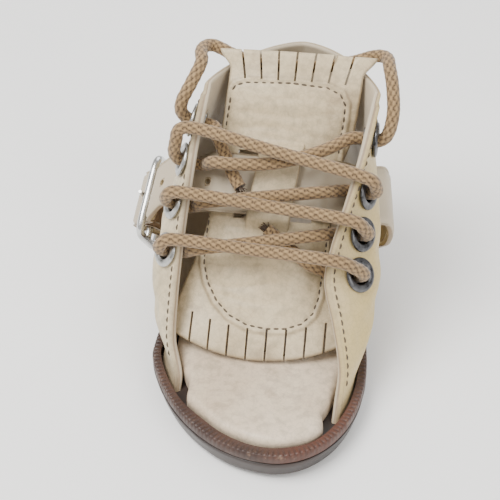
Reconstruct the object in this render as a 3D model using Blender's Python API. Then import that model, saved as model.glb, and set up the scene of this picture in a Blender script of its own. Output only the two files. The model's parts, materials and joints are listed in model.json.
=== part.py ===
# Infant's orthopaedic open-toe boot: hollow laced upper, flat welted sole, fringed tongue and buckled strap.
# Metres, +Z up. The toe points to -Y, the heel to +Y, and the buckle is at -X.

import math

import bmesh
import bpy
from mathutils import Matrix, Vector

MM = 0.001
GAP = 0.3 * MM  # between touching pieces

# Sole
SOLE_LENGTH = 120 * MM
BALL_WIDTH = 59.8 * MM
BALL_SIDE = 0.6 * MM
HEEL_WIDTH = 56 * MM  # at the start of the heel's round
BALL_BACK = 37 * MM  # from the toe to the widest place
HEEL_ROUND = 52 * MM  # length of the rounded heel end
TOE_SIDE = 7.5 * MM  # the toe's furthest point lies this far to the inner side
HEEL_SIDE = 4.5 * MM
OUTSOLE_THICK = 4.9 * MM
OUTSOLE_LIP = 0.5 * MM  # bevel of its edges
WELT_THICK = 2.8 * MM
WELT_WIDTH = 3.4 * MM
WELT_NARROW = 2.4 * MM
EDGE_SLANT = 1.0 * MM  # the sole is this much smaller below than above
TOE_SPRING = 2.0 * MM
SPRING_LENGTH = 30 * MM
WELT_POINTS = 96

# Upper
WALL = 2.4 * MM
EYESTAY_TOP = 73 * MM
COLLAR_BACK = 67 * MM
EYESTAY_BACK = 14.5 * MM  # how far the eyestay's top lies behind the middle of the sole
COLLAR_WIDTH = 48 * MM
COLLAR_END = 51.5 * MM  # how far the collar's back lies behind the middle of the sole
COLLAR_SIDE = 4.5 * MM
FRONT_LEFT = 24 * MM  # from the toe to the foot of each front edge
FRONT_RIGHT = 17.5 * MM
BULGE = 4.4 * MM
EDGE_CURL = 9 * MM
CURL_LENGTH = 17 * MM
COLLAR_STEP = 0.5 * MM  # the collar piece stands this much lower than the quarters
COLLAR_PIECE = 20 * MM  # depth of the collar piece at the back

# Eyelets
EYELET_OUTER = 9.6 * MM
EYELET_HOLE = 5.2 * MM
EYELET_RIM = 0.7 * MM
EYELET_INSET = 7.0 * MM  # from the throat edge to the middle of a hole

# Strap and buckle
STRAP_WIDTH = 16.5 * MM
STRAP_THICK = 2.0 * MM
SLOT_INSET = 16.5 * MM
SLOT_WIDTH = 4.4 * MM
SLOT_EXTRA = 3 * MM  # how much longer a slot is than the strap is wide
BUCKLE_HEIGHT = 26 * MM
BUCKLE_LENGTH = 21 * MM
BUCKLE_WIRE = 2.4 * MM
BUCKLE_BAR = 2.0 * MM

# Insole
INSOLE_THICK = 5.0 * MM
INSOLE_ROUND = 2.4 * MM

# Tongue
TONGUE_THICK = 1.8 * MM
TONGUE_TOP = 84.5 * MM  # length along the throat from the middle of the instep is shared by the two ends
TONGUE_WIDTH = 47.5 * MM
FRINGE_TOP = 8.0 * MM
FRINGE_BOTTOM = 8.5 * MM
FRINGE_SLIT = 0.6 * MM
BRIDGE_WIDTH = 12 * MM

LACE_THICK = 3.6 * MM
LACE_OVER = 0.9 * MM  # clear space under a bar where it crosses the edge of the wall
LACE_INSIDE = 1.3 * MM  # clear space between the wall and a crossing's end

TOE_Y = -SOLE_LENGTH / 2
HEEL_Y = SOLE_LENGTH / 2
BALL_Y = TOE_Y + BALL_BACK
ROUND_Y = HEEL_Y - HEEL_ROUND
WELT_TOP = OUTSOLE_THICK + GAP + WELT_THICK

# Corners of the outline on each side: toe curve, side and heel curve
TOE_STEPS = 9
SIDE_STEPS = 5
HEEL_STEPS = 9
TOE_FULLNESS = {-1: 1.3, 1: 2.1}  # the outer side slopes away from the toe, the inner side is round
HEEL_FULLNESS = 2.3
COLLAR_FULLNESS = 1.35
COLLAR_ROUNDNESS = 0.6

# Shares of the named sizes above, by share of the upper's height
SHAPE_COLUMNS = ("height", "bulge_right", "bulge_left", "curl_right", "curl_left")
SHAPE_ROWS = (
    (0.00, 0.00, 0.00, 0.00, 0.00),
    (0.05, 0.00, 0.00, 0.00, 0.00),
    (0.16, 0.72, 1.10, 0.06, -0.26),
    (0.30, 1.00, 1.75, 0.46, -0.30),
    (0.42, 1.02, 1.85, 0.86, -0.30),
    (0.52, 0.92, 1.70, 0.78, -0.29),
    (0.65, 0.68, 1.30, 0.50, -0.26),
    (0.80, 0.36, 0.70, 0.20, -0.20),
    (1.00, 0.00, 0.00, -0.05, 0.00),
)

# Places of the eyelets, as shares of the throat's length from its top,
# and how far above its eyelet each bar of the lace crosses the edge, as a share of the upper's height
EYELET_COLUMNS = ("right", "left", "bar_right", "bar_left")
EYELET_ROWS = (
    (0.14, 0.12, 0.0, 0.0),
    (0.31, 0.25, 0.085, 0.13),
    (0.445, 0.39, 0.085, 0.06),
    (0.575, 0.545, 0.085, 0.06),
)
SLOT_PLACE = 0.31  # share of the throat's length from its top to the middle of the strap

WINDOW_WIDTH = 18.5 * MM
WINDOW_TOP = 31 * MM
WINDOW_FOOT = 13 * MM
WINDOW_SIDE = 3.5 * MM


def smooth(low, high, value):
    share = min(1.0, max(0.0, (value - low) / (high - low)))
    return share * share * (3 - 2 * share)


def mix(a, b, share):
    return a + (b - a) * share


def table_value(rows, columns, name, at):
    """Smooth value of one column, where the first column is at."""
    k = columns.index(name)
    at = min(rows[-1][0], max(rows[0][0], at))
    i = max(n for n in range(len(rows) - 1) if rows[n][0] <= at)
    before, low, high, after = (rows[min(len(rows) - 1, max(0, i + n))] for n in (-1, 0, 1, 2))
    span = high[0] - low[0]
    share = (at - low[0]) / span
    slope_low = (high[k] - before[k]) / (high[0] - before[0]) * span
    slope_high = (after[k] - low[k]) / (after[0] - low[0]) * span
    return (
        (2 * share**3 - 3 * share**2 + 1) * low[k]
        + (share**3 - 2 * share**2 + share) * slope_low
        + (3 * share**2 - 2 * share**3) * high[k]
        + (share**3 - share**2) * slope_high
    )


def spring(y):
    """How far the sole's toe lifts at y."""
    share = max(0.0, (TOE_Y + SPRING_LENGTH - y) / SPRING_LENGTH)
    return TOE_SPRING * share * share


def side_outline(side):
    """One side of the sole's top outline, from the toe's tip to the heel's."""
    points = []
    reach = BALL_WIDTH / 2 + side * (BALL_SIDE - TOE_SIDE)
    for i in range(TOE_STEPS):
        along = math.sin(math.radians(90) * (1 - i / TOE_STEPS))
        out = math.sqrt(1 - along ** TOE_FULLNESS[side])
        points.append(Vector((TOE_SIDE + side * reach * out, BALL_Y - BALL_BACK * along)))
    for i in range(SIDE_STEPS):
        share = i / SIDE_STEPS
        half = mix(BALL_WIDTH, HEEL_WIDTH, smooth(0, 1, share)) / 2
        points.append(Vector((BALL_SIDE * (1 - share) + side * half, mix(BALL_Y, ROUND_Y, share))))
    for i in range(HEEL_STEPS + 1):
        along = math.sin(math.radians(90) * i / HEEL_STEPS)
        out = math.sqrt(max(0.0, 1 - along**HEEL_FULLNESS))
        points.append(Vector((HEEL_SIDE * along + side * HEEL_WIDTH / 2 * out, ROUND_Y + HEEL_ROUND * along)))
    return points


def welt_width(point):
    """Narrower beside the wall, which stands near the sole's edge."""
    return mix(WELT_WIDTH, WELT_NARROW, smooth(12 * MM, 22 * MM, abs(point.x)))


def outline(inset):
    """The closed outline, right side from toe to heel and left side back; inset may be a function of a point."""
    right = side_outline(1)
    ring = right + side_outline(-1)[-2:0:-1]
    moved = []
    for i, point in enumerate(ring):
        along = ring[(i + 1) % len(ring)] - ring[i - 1]
        outward = Vector((along.y, -along.x)).normalized()
        depth = inset(point) if callable(inset) else inset
        moved.append(point - outward * depth)
    return moved


def resample(points, count, closed=False):
    """Evenly spaced points along a line of 2-D or 3-D points."""
    line = list(points) + ([points[0]] if closed else [])
    reach = [0.0]
    for a, b in zip(line, line[1:]):
        reach.append(reach[-1] + (b - a).length)
    steps = count if closed else count - 1
    out = []
    k = 0
    for i in range(count):
        want = reach[-1] * i / steps
        while k < len(line) - 2 and reach[k + 1] < want:
            k += 1
        share = (want - reach[k]) / (reach[k + 1] - reach[k])
        out.append(line[k].lerp(line[k + 1], share))
    return out


def new_object(name, verts, faces, look):
    mesh = bpy.data.meshes.new(name)
    mesh.from_pydata([tuple(v) for v in verts], [], faces)
    body = bmesh.new()
    body.from_mesh(mesh)
    bmesh.ops.triangulate(body, faces=[f for f in body.faces if len(f.verts) > 4])
    bmesh.ops.recalc_face_normals(body, faces=body.faces)
    body.to_mesh(mesh)
    body.free()
    mesh.shade_smooth()
    mesh.set_sharp_from_angle(angle=math.radians(35))
    obj = bpy.data.objects.new(name, mesh)
    bpy.context.scene.collection.objects.link(obj)
    if look is not None:
        mesh.materials.append(material(name, look))
    return obj


LOOKS = {
    "leather": ((0.62, 0.53, 0.37), 0.5, 0.0),
    "lining": ((0.62, 0.51, 0.36), 0.7, 0.0),
    "sole": ((0.03, 0.02, 0.017), 0.4, 0.0),
    "welt": ((0.08, 0.035, 0.025), 0.5, 0.0),
    "metal": ((0.6, 0.6, 0.58), 0.25, 1.0),
    "gunmetal": ((0.12, 0.12, 0.13), 0.3, 1.0),
    "cord": ((0.36, 0.26, 0.13), 0.85, 0.0),
}


def material(name, look):
    color, rough, metal = LOOKS[look]
    made = bpy.data.materials.new(name)
    made.use_nodes = True
    shader = made.node_tree.nodes["Principled BSDF"]
    shader.inputs["Base Color"].default_value = (*color, 1.0)
    shader.inputs["Roughness"].default_value = rough
    shader.inputs["Metallic"].default_value = metal
    return made


def join_rings(name, rings, look, cap_low, cap_high):
    """A closed solid through rings of as many points each; the caps are lists of faces."""
    verts = [v for ring in rings for v in ring]
    count = len(rings[0])
    faces = []
    for r in range(len(rings) - 1):
        for i in range(count):
            j = (i + 1) % count
            faces.append((r * count + i, r * count + j, (r + 1) * count + j, (r + 1) * count + i))
    last = (len(rings) - 1) * count
    faces += [tuple(face) for face in cap_low]
    faces += [tuple(last + i for i in face) for face in cap_high]
    return new_object(name, verts, faces, look)


def cross_faces(count):
    """Faces across a ring whose two sides mirror each other, from its first point to its middle one."""
    half = count // 2
    faces = [(0, 1, count - 1)]
    for i in range(1, half - 1):
        faces.append((i, i + 1, count - i - 1, count - i))
    faces.append((half - 1, half, half + 1))
    return faces


def plate_ring(inset, height):
    return [Vector((p.x, p.y, height + spring(p.y))) for p in outline(inset)]


def make_outsole():
    lip = OUTSOLE_LIP
    rings = [
        plate_ring(EDGE_SLANT + lip, 0),
        plate_ring(EDGE_SLANT, lip),
        plate_ring(0, OUTSOLE_THICK - lip),
        plate_ring(lip / 2, OUTSOLE_THICK),
    ]
    faces = cross_faces(len(rings[0]))
    join_rings("outsole", rings, "sole", faces, faces)


def matched(points, ring):
    """The nearest place on a closed ring for each point."""
    out = []
    for point in points:
        near = []
        for a, b in zip(ring, ring[1:] + ring[:1]):
            share = min(1.0, max(0.0, (point - a).dot(b - a) / (b - a).length_squared))
            near.append(a.lerp(b, share))
        out.append(min(near, key=lambda place: (place - point).length))
    return out


def make_welt():
    """A strip all round, with a rounded rim."""
    low = OUTSOLE_THICK + GAP
    count = WELT_POINTS
    outer = resample(outline(0), count, closed=True)
    inner = matched(outer, outline(welt_width))

    def loop(share, height):
        line = [a.lerp(b, share) for a, b in zip(outer, inner)]
        return [Vector((place.x, place.y, height + spring(place.y))) for place in line]

    loops = [
        loop(0.05, low),
        loop(0.0, low + WELT_THICK * 0.5),
        loop(0.16, low + WELT_THICK),
        loop(1.0, low + WELT_THICK),
        loop(1.0, low),
    ]
    verts = [v for ring in loops for v in ring]
    faces = []
    for r in range(len(loops)):
        s = (r + 1) % len(loops)
        for i in range(count):
            j = (i + 1) % count
            faces.append((r * count + i, r * count + j, s * count + j, s * count + i))
    new_object("welt", verts, faces, "welt")


def front_foot(side):
    """Where a front edge of the upper stands, along Y."""
    return TOE_Y + (FRONT_RIGHT if side > 0 else FRONT_LEFT)


def insole_inset(point):
    """Close to the welt at the open toe, and inside the wall behind the front edges."""
    side = 1 if point.x > TOE_SIDE else -1
    open_toe = welt_width(point) + 2.5 * GAP
    walled = welt_width(point) + WALL + 4.6 * GAP
    foot = front_foot(side)
    lean = 0.8 * MM * (1 - smooth(foot + 8 * MM, foot + 26 * MM, point.y))
    return mix(open_toe, walled + lean, smooth(foot - 9 * MM, foot - 2 * MM, point.y))


def make_insole():
    low = OUTSOLE_THICK + GAP
    top = low + INSOLE_THICK
    rings = [plate_ring(insole_inset, low)]
    for angle in (0, 45, 90):
        turn = math.radians(angle)
        inward = INSOLE_ROUND * (1 - math.cos(turn))
        height = top - INSOLE_ROUND * (1 - math.sin(turn))
        rings.append(plate_ring(lambda p, extra=inward: insole_inset(p) + extra, height))
    faces = cross_faces(len(rings[0]))
    join_rings("insole", rings, "lining", faces, faces)


# Upper
def cut_front(points, foot):
    """The part of a side's line that lies behind y = foot."""
    for i, (a, b) in enumerate(zip(points, points[1:])):
        if a.y <= foot < b.y:
            return [a.lerp(b, (foot - a.y) / (b.y - a.y))] + points[i + 1 :]
    return points


PLAN_COUNT = 61


def base_plan(side):
    ring = outline(lambda point: welt_width(point) + 1.3 * GAP)
    half = len(ring) // 2
    line = ring[: half + 1] if side > 0 else [ring[0]] + ring[-1 : half - 1 : -1]
    return resample(cut_front(line, front_foot(side)), PLAN_COUNT)


def collar_plan(side):
    points = []
    for i in range(PLAN_COUNT):
        along = math.sin(math.radians(90) * i / (PLAN_COUNT - 1))
        out = max(0.0, 1 - along**COLLAR_FULLNESS) ** COLLAR_ROUNDNESS
        points.append(
            Vector((COLLAR_SIDE + side * COLLAR_WIDTH / 2 * out, mix(EYESTAY_BACK, COLLAR_END, along)))
        )
    return resample(points, PLAN_COUNT)


BASE = {side: base_plan(side) for side in (-1, 1)}
COLLAR = {side: collar_plan(side) for side in (-1, 1)}


def plan_at(plan, share):
    place = min(1.0, max(0.0, share)) * (PLAN_COUNT - 1)
    i = min(PLAN_COUNT - 2, int(place))
    return plan[i].lerp(plan[i + 1], place - i)


def wall_heights(side, share):
    low = OUTSOLE_THICK + GAP + spring(plan_at(BASE[side], share).y)
    back = plan_at(COLLAR[side], share).y
    rise = (COLLAR_END - back) / (COLLAR_END - EYESTAY_BACK)
    return low, mix(COLLAR_BACK, EYESTAY_TOP, rise)


def wall_outer(side, share, height):
    """A point of the upper's outer face: share runs from a front edge to the heel, height from 0 to 1."""
    base = plan_at(BASE[side], share)
    collar = plan_at(COLLAR[side], share)
    place = base.lerp(collar, height)
    step = 0.02
    ahead = plan_at(BASE[side], share + step).lerp(plan_at(COLLAR[side], share + step), height)
    behind = plan_at(BASE[side], share - step).lerp(plan_at(COLLAR[side], share - step), height)
    along = ahead - behind
    outward = Vector((along.y, -along.x)).normalized() * side
    if share > 1 - step:
        outward = outward.lerp(Vector((0.0, 1.0)), (share - 1 + step) / step).normalized()
    word = "right" if side > 0 else "left"
    bulge = BULGE * table_value(SHAPE_ROWS, SHAPE_COLUMNS, "bulge_" + word, height)
    bulge = mix(bulge, BULGE * table_value(SHAPE_ROWS, SHAPE_COLUMNS, "bulge_right", height) * 0.5, share**3)
    curl = EDGE_CURL * table_value(SHAPE_ROWS, SHAPE_COLUMNS, "curl_" + word, height)
    length = mix((BASE[side][0] - BASE[side][1]).length, (COLLAR[side][0] - COLLAR[side][1]).length, height)
    reach = min(1.0, share * length * (PLAN_COUNT - 1) / CURL_LENGTH)
    ease = 1 - (1 - reach) ** 1.25
    place = place + outward * bulge * ease - Vector((side * curl * (1 - ease), 0.0))
    low, high = wall_heights(side, share)
    return Vector((place.x, place.y, mix(low, high, height)))


def wall_normal(side, share, height):
    step = 0.015
    ahead, behind = min(1.0, share + step), max(0.0, share - step)
    above, below = min(1.0, height + step), max(0.0, height - step)
    a = wall_outer(side, ahead, height) - wall_outer(side, behind, height)
    b = wall_outer(side, share, above) - wall_outer(side, share, below)
    if share > 0.985:
        a = Vector((-side, 0.0, 0.0))
    return a.cross(b).normalized() * side


def wall_point(side, share, height, depth):
    return wall_outer(side, share, height) - wall_normal(side, share, height) * depth


def wall_at(side, y, z):
    """Share and height of the outer face's point at this y and z."""
    share, height = 0.3, 0.5
    for _ in range(12):
        low, high = wall_heights(side, share)
        height = min(1.0, max(0.0, (z - low) / (high - low)))
        near, far = 0.0, 1.0
        for _ in range(24):
            share = (near + far) / 2
            if wall_outer(side, share, height).y < y:
                near = share
            else:
                far = share
    return share, height


ACROSS = (0, 0.04, 0.09, 0.15, 0.21, 0.28, 0.35, 0.42, 0.49, 0.56, 0.63, 0.70, 0.77, 0.84, 0.90, 0.95, 1)
LOW_ROWS = 8
HIGH_ROWS = 3


def collar_seam(share):
    """Height share of the seam that the collar piece ends at."""
    depth = mix(2.5 * MM, COLLAR_PIECE, smooth(0.05, 0.9, share))
    return 1 - depth / (COLLAR_BACK - OUTSOLE_THICK)


def row_heights(share):
    """Heights of the grid's rows, with the depth that each lies below the quarters' face."""
    seam = collar_seam(share)
    lip = 0.006
    rows = [(0.0, 0.0), (0.045, 0.0)]
    rows += [(mix(0.11, seam - lip, i / LOW_ROWS), 0.0) for i in range(LOW_ROWS + 1)]
    rows += [(mix(seam, 1, i / HIGH_ROWS), COLLAR_STEP) for i in range(HIGH_ROWS + 1)]
    return rows


def make_upper():
    columns = [(1, s) for s in ACROSS] + [(-1, s) for s in ACROSS[-2::-1]]
    outer = []
    inner = []
    for side, share in columns:
        outer.append([wall_point(side, share, h, step) for h, step in row_heights(share)])
        inner.append([wall_point(side, share, h, WALL) for h, _ in row_heights(share)])
        inner[-1] = [Vector((v.x, v.y, outer[-1][k].z)) for k, v in enumerate(inner[-1])]
    shell = sheet("upper", outer, inner, "leather")
    for side in (-1, 1):
        for eyelet in range(len(EYELET_ROWS)):
            place, axis, _ = eyelet_frame(side, eyelet)
            radius = EYELET_HOLE / 2 + EYELET_WALL + 1.4 * GAP
            cut(shell, tube_cutter(place, axis, radius, 6 * WALL))
        cut(shell, slot_cutter(side))
    cut(shell, window_cutter())


def sheet(name, outer, inner, look):
    """A closed shell between two grids of points, joined round their border."""
    wide, high = len(outer), len(outer[0])
    verts = [v for line in outer for v in line] + [v for line in inner for v in line]
    shift = wide * high
    faces = []
    for i in range(wide - 1):
        for j in range(high - 1):
            a = i * high + j
            faces.append((a, a + high, a + high + 1, a + 1))
            faces.append((shift + a, shift + a + 1, shift + a + high + 1, shift + a + high))
    border = [i * high for i in range(wide)]
    border += [(wide - 1) * high + j for j in range(1, high)]
    border += [i * high + high - 1 for i in range(wide - 2, -1, -1)]
    border += list(range(high - 2, 0, -1))
    for k, a in enumerate(border):
        b = border[(k + 1) % len(border)]
        faces.append((a, shift + a, shift + b, b))
    return new_object(name, verts, faces, look)


# The throat's line, and the frame along it
THROAT_TOP = Vector((0.0, EYESTAY_BACK, EYESTAY_TOP))
THROAT_FOOT = Vector((0.0, (front_foot(1) + front_foot(-1)) / 2, WELT_TOP))
THROAT_LENGTH = (THROAT_TOP - THROAT_FOOT).length
UP_THROAT = (THROAT_TOP - THROAT_FOOT).normalized()
INTO_SHOE = UP_THROAT.cross(Vector((1.0, 0.0, 0.0)))


def instep(x, along, depth):
    """A place by x, by distance down the throat from its top, and by depth under the throat's line."""
    return THROAT_TOP - UP_THROAT * along + INTO_SHOE * depth + Vector((x, 0.0, 0.0))


EYELET_WALL = 0.5 * MM


def eyelet_frame(side, row):
    column = "right" if side > 0 else "left"
    along = EYELET_ROWS[row][EYELET_COLUMNS.index(column)] * THROAT_LENGTH
    target = instep(0, along, EYELET_INSET * 0.78)
    share, height = wall_at(side, target.y, target.z)
    normal = wall_normal(side, share, height)
    return wall_outer(side, share, height), normal, (share, height)


def slot_frame(side):
    """Middle of a slot in the wall, the strap's way outwards through it and the slot's long direction."""
    places = []
    for off in (-0.5, 0, 0.5):
        target = instep(0, SLOT_PLACE * THROAT_LENGTH + off * STRAP_WIDTH, SLOT_INSET)
        share, height = wall_at(side, target.y, target.z)
        places.append(wall_point(side, share, height, WALL / 2))
    long = (places[0] - places[2]).normalized()
    outward = Vector((side * 0.72, 0.0, 0.0)) + INTO_SHOE * 0.7
    outward = (outward - long * outward.dot(long)).normalized()
    return (places[0] + places[2]) / 2, outward, long


def oriented(x_axis, y_axis, place):
    z_axis = x_axis.cross(y_axis).normalized()
    y_axis = z_axis.cross(x_axis).normalized()
    frame = Matrix((x_axis.normalized(), y_axis, z_axis)).transposed().to_4x4()
    frame.translation = place
    return frame


def hidden(obj):
    obj.hide_render = True
    obj.display_type = "WIRE"
    return obj


def box_cutter(frame, size):
    """A box of this size about the middle of a frame."""
    corners = [
        frame @ Vector((sx * size[0] / 2, sy * size[1] / 2, sz * size[2] / 2))
        for sz in (-1, 1)
        for sx, sy in ((-1, -1), (1, -1), (1, 1), (-1, 1))
    ]
    faces = [(0, 3, 2, 1), (4, 5, 6, 7), (0, 1, 5, 4), (1, 2, 6, 5), (2, 3, 7, 6), (3, 0, 4, 7)]
    return hidden(new_object("cutter", corners, faces, None))


def slot_cutter(side):
    place, outward, long = slot_frame(side)
    frame = oriented(outward, long, place)
    return box_cutter(frame, (9 * MM, STRAP_WIDTH + SLOT_EXTRA, SLOT_WIDTH))


def ring_points(place, axis, radius, count, start=0.0):
    side = axis.orthogonal().normalized()
    up = axis.cross(side).normalized()
    out = []
    for i in range(count):
        turn = start + 2 * math.pi * i / count
        out.append(place + side * radius * math.cos(turn) + up * radius * math.sin(turn))
    return out


def tube_cutter(place, axis, radius, length):
    count = 20
    rings = [ring_points(place + axis * length * s, axis, radius, count) for s in (-0.5, 0.5)]
    cap = [tuple(range(count))]
    return hidden(join_rings("cutter", rings, None, cap, cap))


def window_cutter():
    """A D-shaped prism along Y: flat above, round below."""
    count = 28
    middle = mix(WINDOW_FOOT, WINDOW_TOP, 0.55)
    shape = []
    for i in range(count):
        turn = 2 * math.pi * i / count
        across, up = math.cos(turn), math.sin(turn)
        power = 0.45 if up > 0 else 1.0
        reach = (WINDOW_TOP - middle) if up > 0 else (middle - WINDOW_FOOT)
        wide = abs(across) ** (0.75 if up > 0 else 1.0)
        rise = abs(up) ** power
        shape.append((math.copysign(wide, across) * WINDOW_WIDTH / 2, math.copysign(rise, up) * reach))
    rings = [
        [Vector((WINDOW_SIDE + x, y, middle + z)) for x, z in shape] for y in (HEEL_Y - 16 * MM, HEEL_Y + 6 * MM)
    ]
    cap = [tuple(range(count))]
    return hidden(join_rings("cutter", rings, None, cap, cap))


def cut(obj, cutter, operation="DIFFERENCE"):
    change = obj.modifiers.new("cut", "BOOLEAN")
    change.operation = operation
    change.solver = "EXACT"
    change.object = cutter


def turned(name, place, axis, profile, count, look):
    """A ring turned about an axis from a closed profile of (radius, height) rows."""
    rings = [ring_points(place + axis * height, axis, radius, count) for radius, height in profile]
    verts = [v for ring in rings for v in ring]
    faces = []
    total = len(profile)
    for r in range(total):
        s = (r + 1) % total
        for i in range(count):
            j = (i + 1) % count
            faces.append((r * count + i, r * count + j, s * count + j, s * count + i))
    return new_object(name, verts, faces, look)


def make_eyelets():
    hole = EYELET_HOLE / 2
    barrel = hole + EYELET_WALL
    rim = EYELET_OUTER / 2
    seat = 2.0 * GAP
    profile = (
        (hole, EYELET_RIM * 0.4),
        (hole + EYELET_WALL, EYELET_RIM + seat),
        (rim - EYELET_WALL, EYELET_RIM + seat),
        (rim, seat * 1.1),
        (barrel, seat),
        (barrel, -WALL - GAP),
        (hole, -WALL - GAP),
    )
    for side, word, look in ((-1, "left", "metal"), (1, "right", "gunmetal")):
        for row in range(len(EYELET_ROWS)):
            place, axis, _ = eyelet_frame(side, row)
            turned(f"eyelet_{word}_{row + 1}", place, axis, profile, 12, look)


# Tongue
TONGUE_DEPTH = 8.2 * MM  # under the throat's line, at its middle
TONGUE_DROP = 4.0 * MM  # how much deeper its edges lie
TONGUE_ABOVE = 10.5 * MM  # how far it stands above the throat's top
TONGUE_COLUMNS = 13
TONGUE_ROWS = 16
TOP_STRIPS = 8
BOTTOM_STRIPS = 9
BOTTOM_ROUND = 6 * MM


def tongue_middle(along):
    """The tongue leans to the inner side with the ankle."""
    return mix(COLLAR_SIDE + 0.5 * MM, 0.0, smooth(-TONGUE_ABOVE, 45 * MM, along))


def tongue_depth(across, along):
    flat = smooth(52 * MM, TONGUE_TOP - TONGUE_ABOVE, along)
    drop = TONGUE_DROP * (1 - 0.55 * flat - 0.65 * (1 - smooth(0, 16 * MM, along)))
    rise = 2.0 * MM * flat + 2.4 * MM * (1 - smooth(-4 * MM, 14 * MM, along))
    return TONGUE_DEPTH - rise + drop * across * across


def tongue_half(along):
    """Half width: full at the lower end, narrower inside the collar and at the strap."""
    above = 1 - smooth(-TONGUE_ABOVE, -5 * MM, along)
    below = smooth(40 * MM, 64 * MM, along)
    nip = 1.2 * MM * smooth(10 * MM, 18 * MM, along) * (1 - smooth(36 * MM, 46 * MM, along))
    return TONGUE_WIDTH / 2 - 5.5 * MM + 3.3 * MM * above + 5.5 * MM * below - nip


def tongue_point(across, down, depth):
    """across runs from -1 to 1, down from 0 at the top to 1 at the lower edge."""
    along = -TONGUE_ABOVE + TONGUE_TOP * down
    along -= BOTTOM_ROUND * across * across * smooth(0.55, 1.0, down)
    x = tongue_middle(along) + across * tongue_half(along)
    return instep(x, along, tongue_depth(across, along) + depth)


def make_tongue():
    outer = []
    inner = []
    for i in range(TONGUE_COLUMNS):
        across = mix(-1, 1, i / (TONGUE_COLUMNS - 1))
        downs = [j / (TONGUE_ROWS - 1) for j in range(TONGUE_ROWS)]
        outer.append([tongue_point(across, down, 0) for down in downs])
        inner.append([tongue_point(across, down, TONGUE_THICK) for down in downs])
    body = sheet("tongue", outer, inner, "leather")
    top_end = FRINGE_TOP / TONGUE_TOP
    low_end = 1 - FRINGE_BOTTOM / TONGUE_TOP
    for strips, start, end in ((TOP_STRIPS, -0.05, top_end), (BOTTOM_STRIPS, low_end, 1.05)):
        for k in range(1, strips):
            across = mix(-1, 1, k / strips)
            cut(body, slit_cutter(across, start, end))
    window = BRIDGE_WIDTH + 9.6 * MM
    along = SLOT_PLACE * THROAT_LENGTH
    middle = instep(tongue_middle(along), along, TONGUE_DEPTH + TONGUE_THICK / 2)
    frame = oriented(Vector((1.0, 0.0, 0.0)), UP_THROAT, middle)
    cut(body, box_cutter(frame, (window, STRAP_WIDTH + 2.4 * MM, 6 * TONGUE_THICK)))
    cut(body, bridge_strip(along), "UNION")


def slit_cutter(across, start, end):
    a = tongue_point(across, start, TONGUE_THICK / 2)
    b = tongue_point(across, end, TONGUE_THICK / 2)
    frame = oriented((b - a).normalized(), Vector((1.0, 0.0, 0.0)), (a + b) / 2)
    return box_cutter(frame, ((b - a).length, FRINGE_SLIT, 4 * TONGUE_THICK))


BRIDGE_STEPS = 14
BRIDGE_LIFT = 2.3 * MM


def bridge_strip(along):
    """The tongue's middle strip, which passes over the strap."""
    reach = STRAP_WIDTH / 2 + 5 * MM
    outer = []
    inner = []
    for i in range(BRIDGE_STEPS + 1):
        off = mix(-reach, reach, i / BRIDGE_STEPS)
        rise = BRIDGE_LIFT * (1 - smooth(STRAP_WIDTH / 2 + 0.6 * MM, reach - 0.6 * MM, abs(off)))
        top, under = [], []
        for j in range(5):
            x = mix(-0.5, 0.5, j / 4) * BRIDGE_WIDTH
            place = along + off
            across = x / tongue_half(place)
            depth = tongue_depth(across, place) - rise
            middle = tongue_middle(place)
            top.append(instep(middle + x, place, depth + 0.02 * MM))
            under.append(instep(middle + x, place, depth + TONGUE_THICK - 0.02 * MM))
        outer.append(top)
        inner.append(under)
    return hidden(sheet("bridge", outer, inner, None))


# Ribbons: strap and buckle strap
def smooth_line(points, count):
    """Evenly spaced points on a smooth curve through the given ones."""
    dense = []
    last = len(points) - 1
    for i in range(last):
        before, low, high, after = (points[min(last, max(0, i + n))] for n in (-1, 0, 1, 2))
        for k in range(12):
            s = k / 12
            a = (high - before) * 0.5
            b = (after - low) * 0.5
            spot = low * (2 * s**3 - 3 * s**2 + 1) + a * (s**3 - 2 * s**2 + s)
            dense.append(spot + high * (3 * s**2 - 2 * s**3) + b * (s**3 - s**2))
    dense.append(points[-1])
    return resample(dense, count)


def ribbon(name, route, widths, wide, thick, count, look, tip=0.0):
    """A flat band along a route; widths are its width directions at the same points."""
    line = smooth_line(route, count)
    rings = []
    for i, place in enumerate(line):
        along = (line[min(count - 1, i + 1)] - line[max(0, i - 1)]).normalized()
        k = min(len(route) - 2, nearest_span(route, place))
        span = (route[k + 1] - route[k]).length
        share = min(1.0, max(0.0, (place - route[k]).dot(route[k + 1] - route[k]) / span**2))
        across = widths[k].lerp(widths[k + 1], share).normalized()
        normal = along.cross(across).normalized()
        half = wide / 2
        if tip and i > count - 4:
            half *= (1.0, 0.8, 0.45)[i - count + 3]
        rings.append(
            [
                place + across * half + normal * thick / 2,
                place - across * half + normal * thick / 2,
                place - across * half - normal * thick / 2,
                place + across * half - normal * thick / 2,
            ]
        )
    return join_rings(name, rings, look, [(0, 1, 2, 3)], [(0, 1, 2, 3)])


def nearest_span(route, place):
    def away(k):
        a, b = route[k], route[k + 1]
        share = min(1.0, max(0.0, (place - a).dot(b - a) / (b - a).length_squared))
        return (a.lerp(b, share) - place).length

    return min(range(len(route) - 1), key=away)


ANCHOR_RIGHT = 36 * MM
ANCHOR_LEFT = 30 * MM
OUTSIDE_COLUMNS = ("share", "stand_off")
OUTSIDE_ROWS = ((0.0, 1.5), (0.3, 3.2), (0.6, 4.6), (0.82, 4.2))


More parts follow.
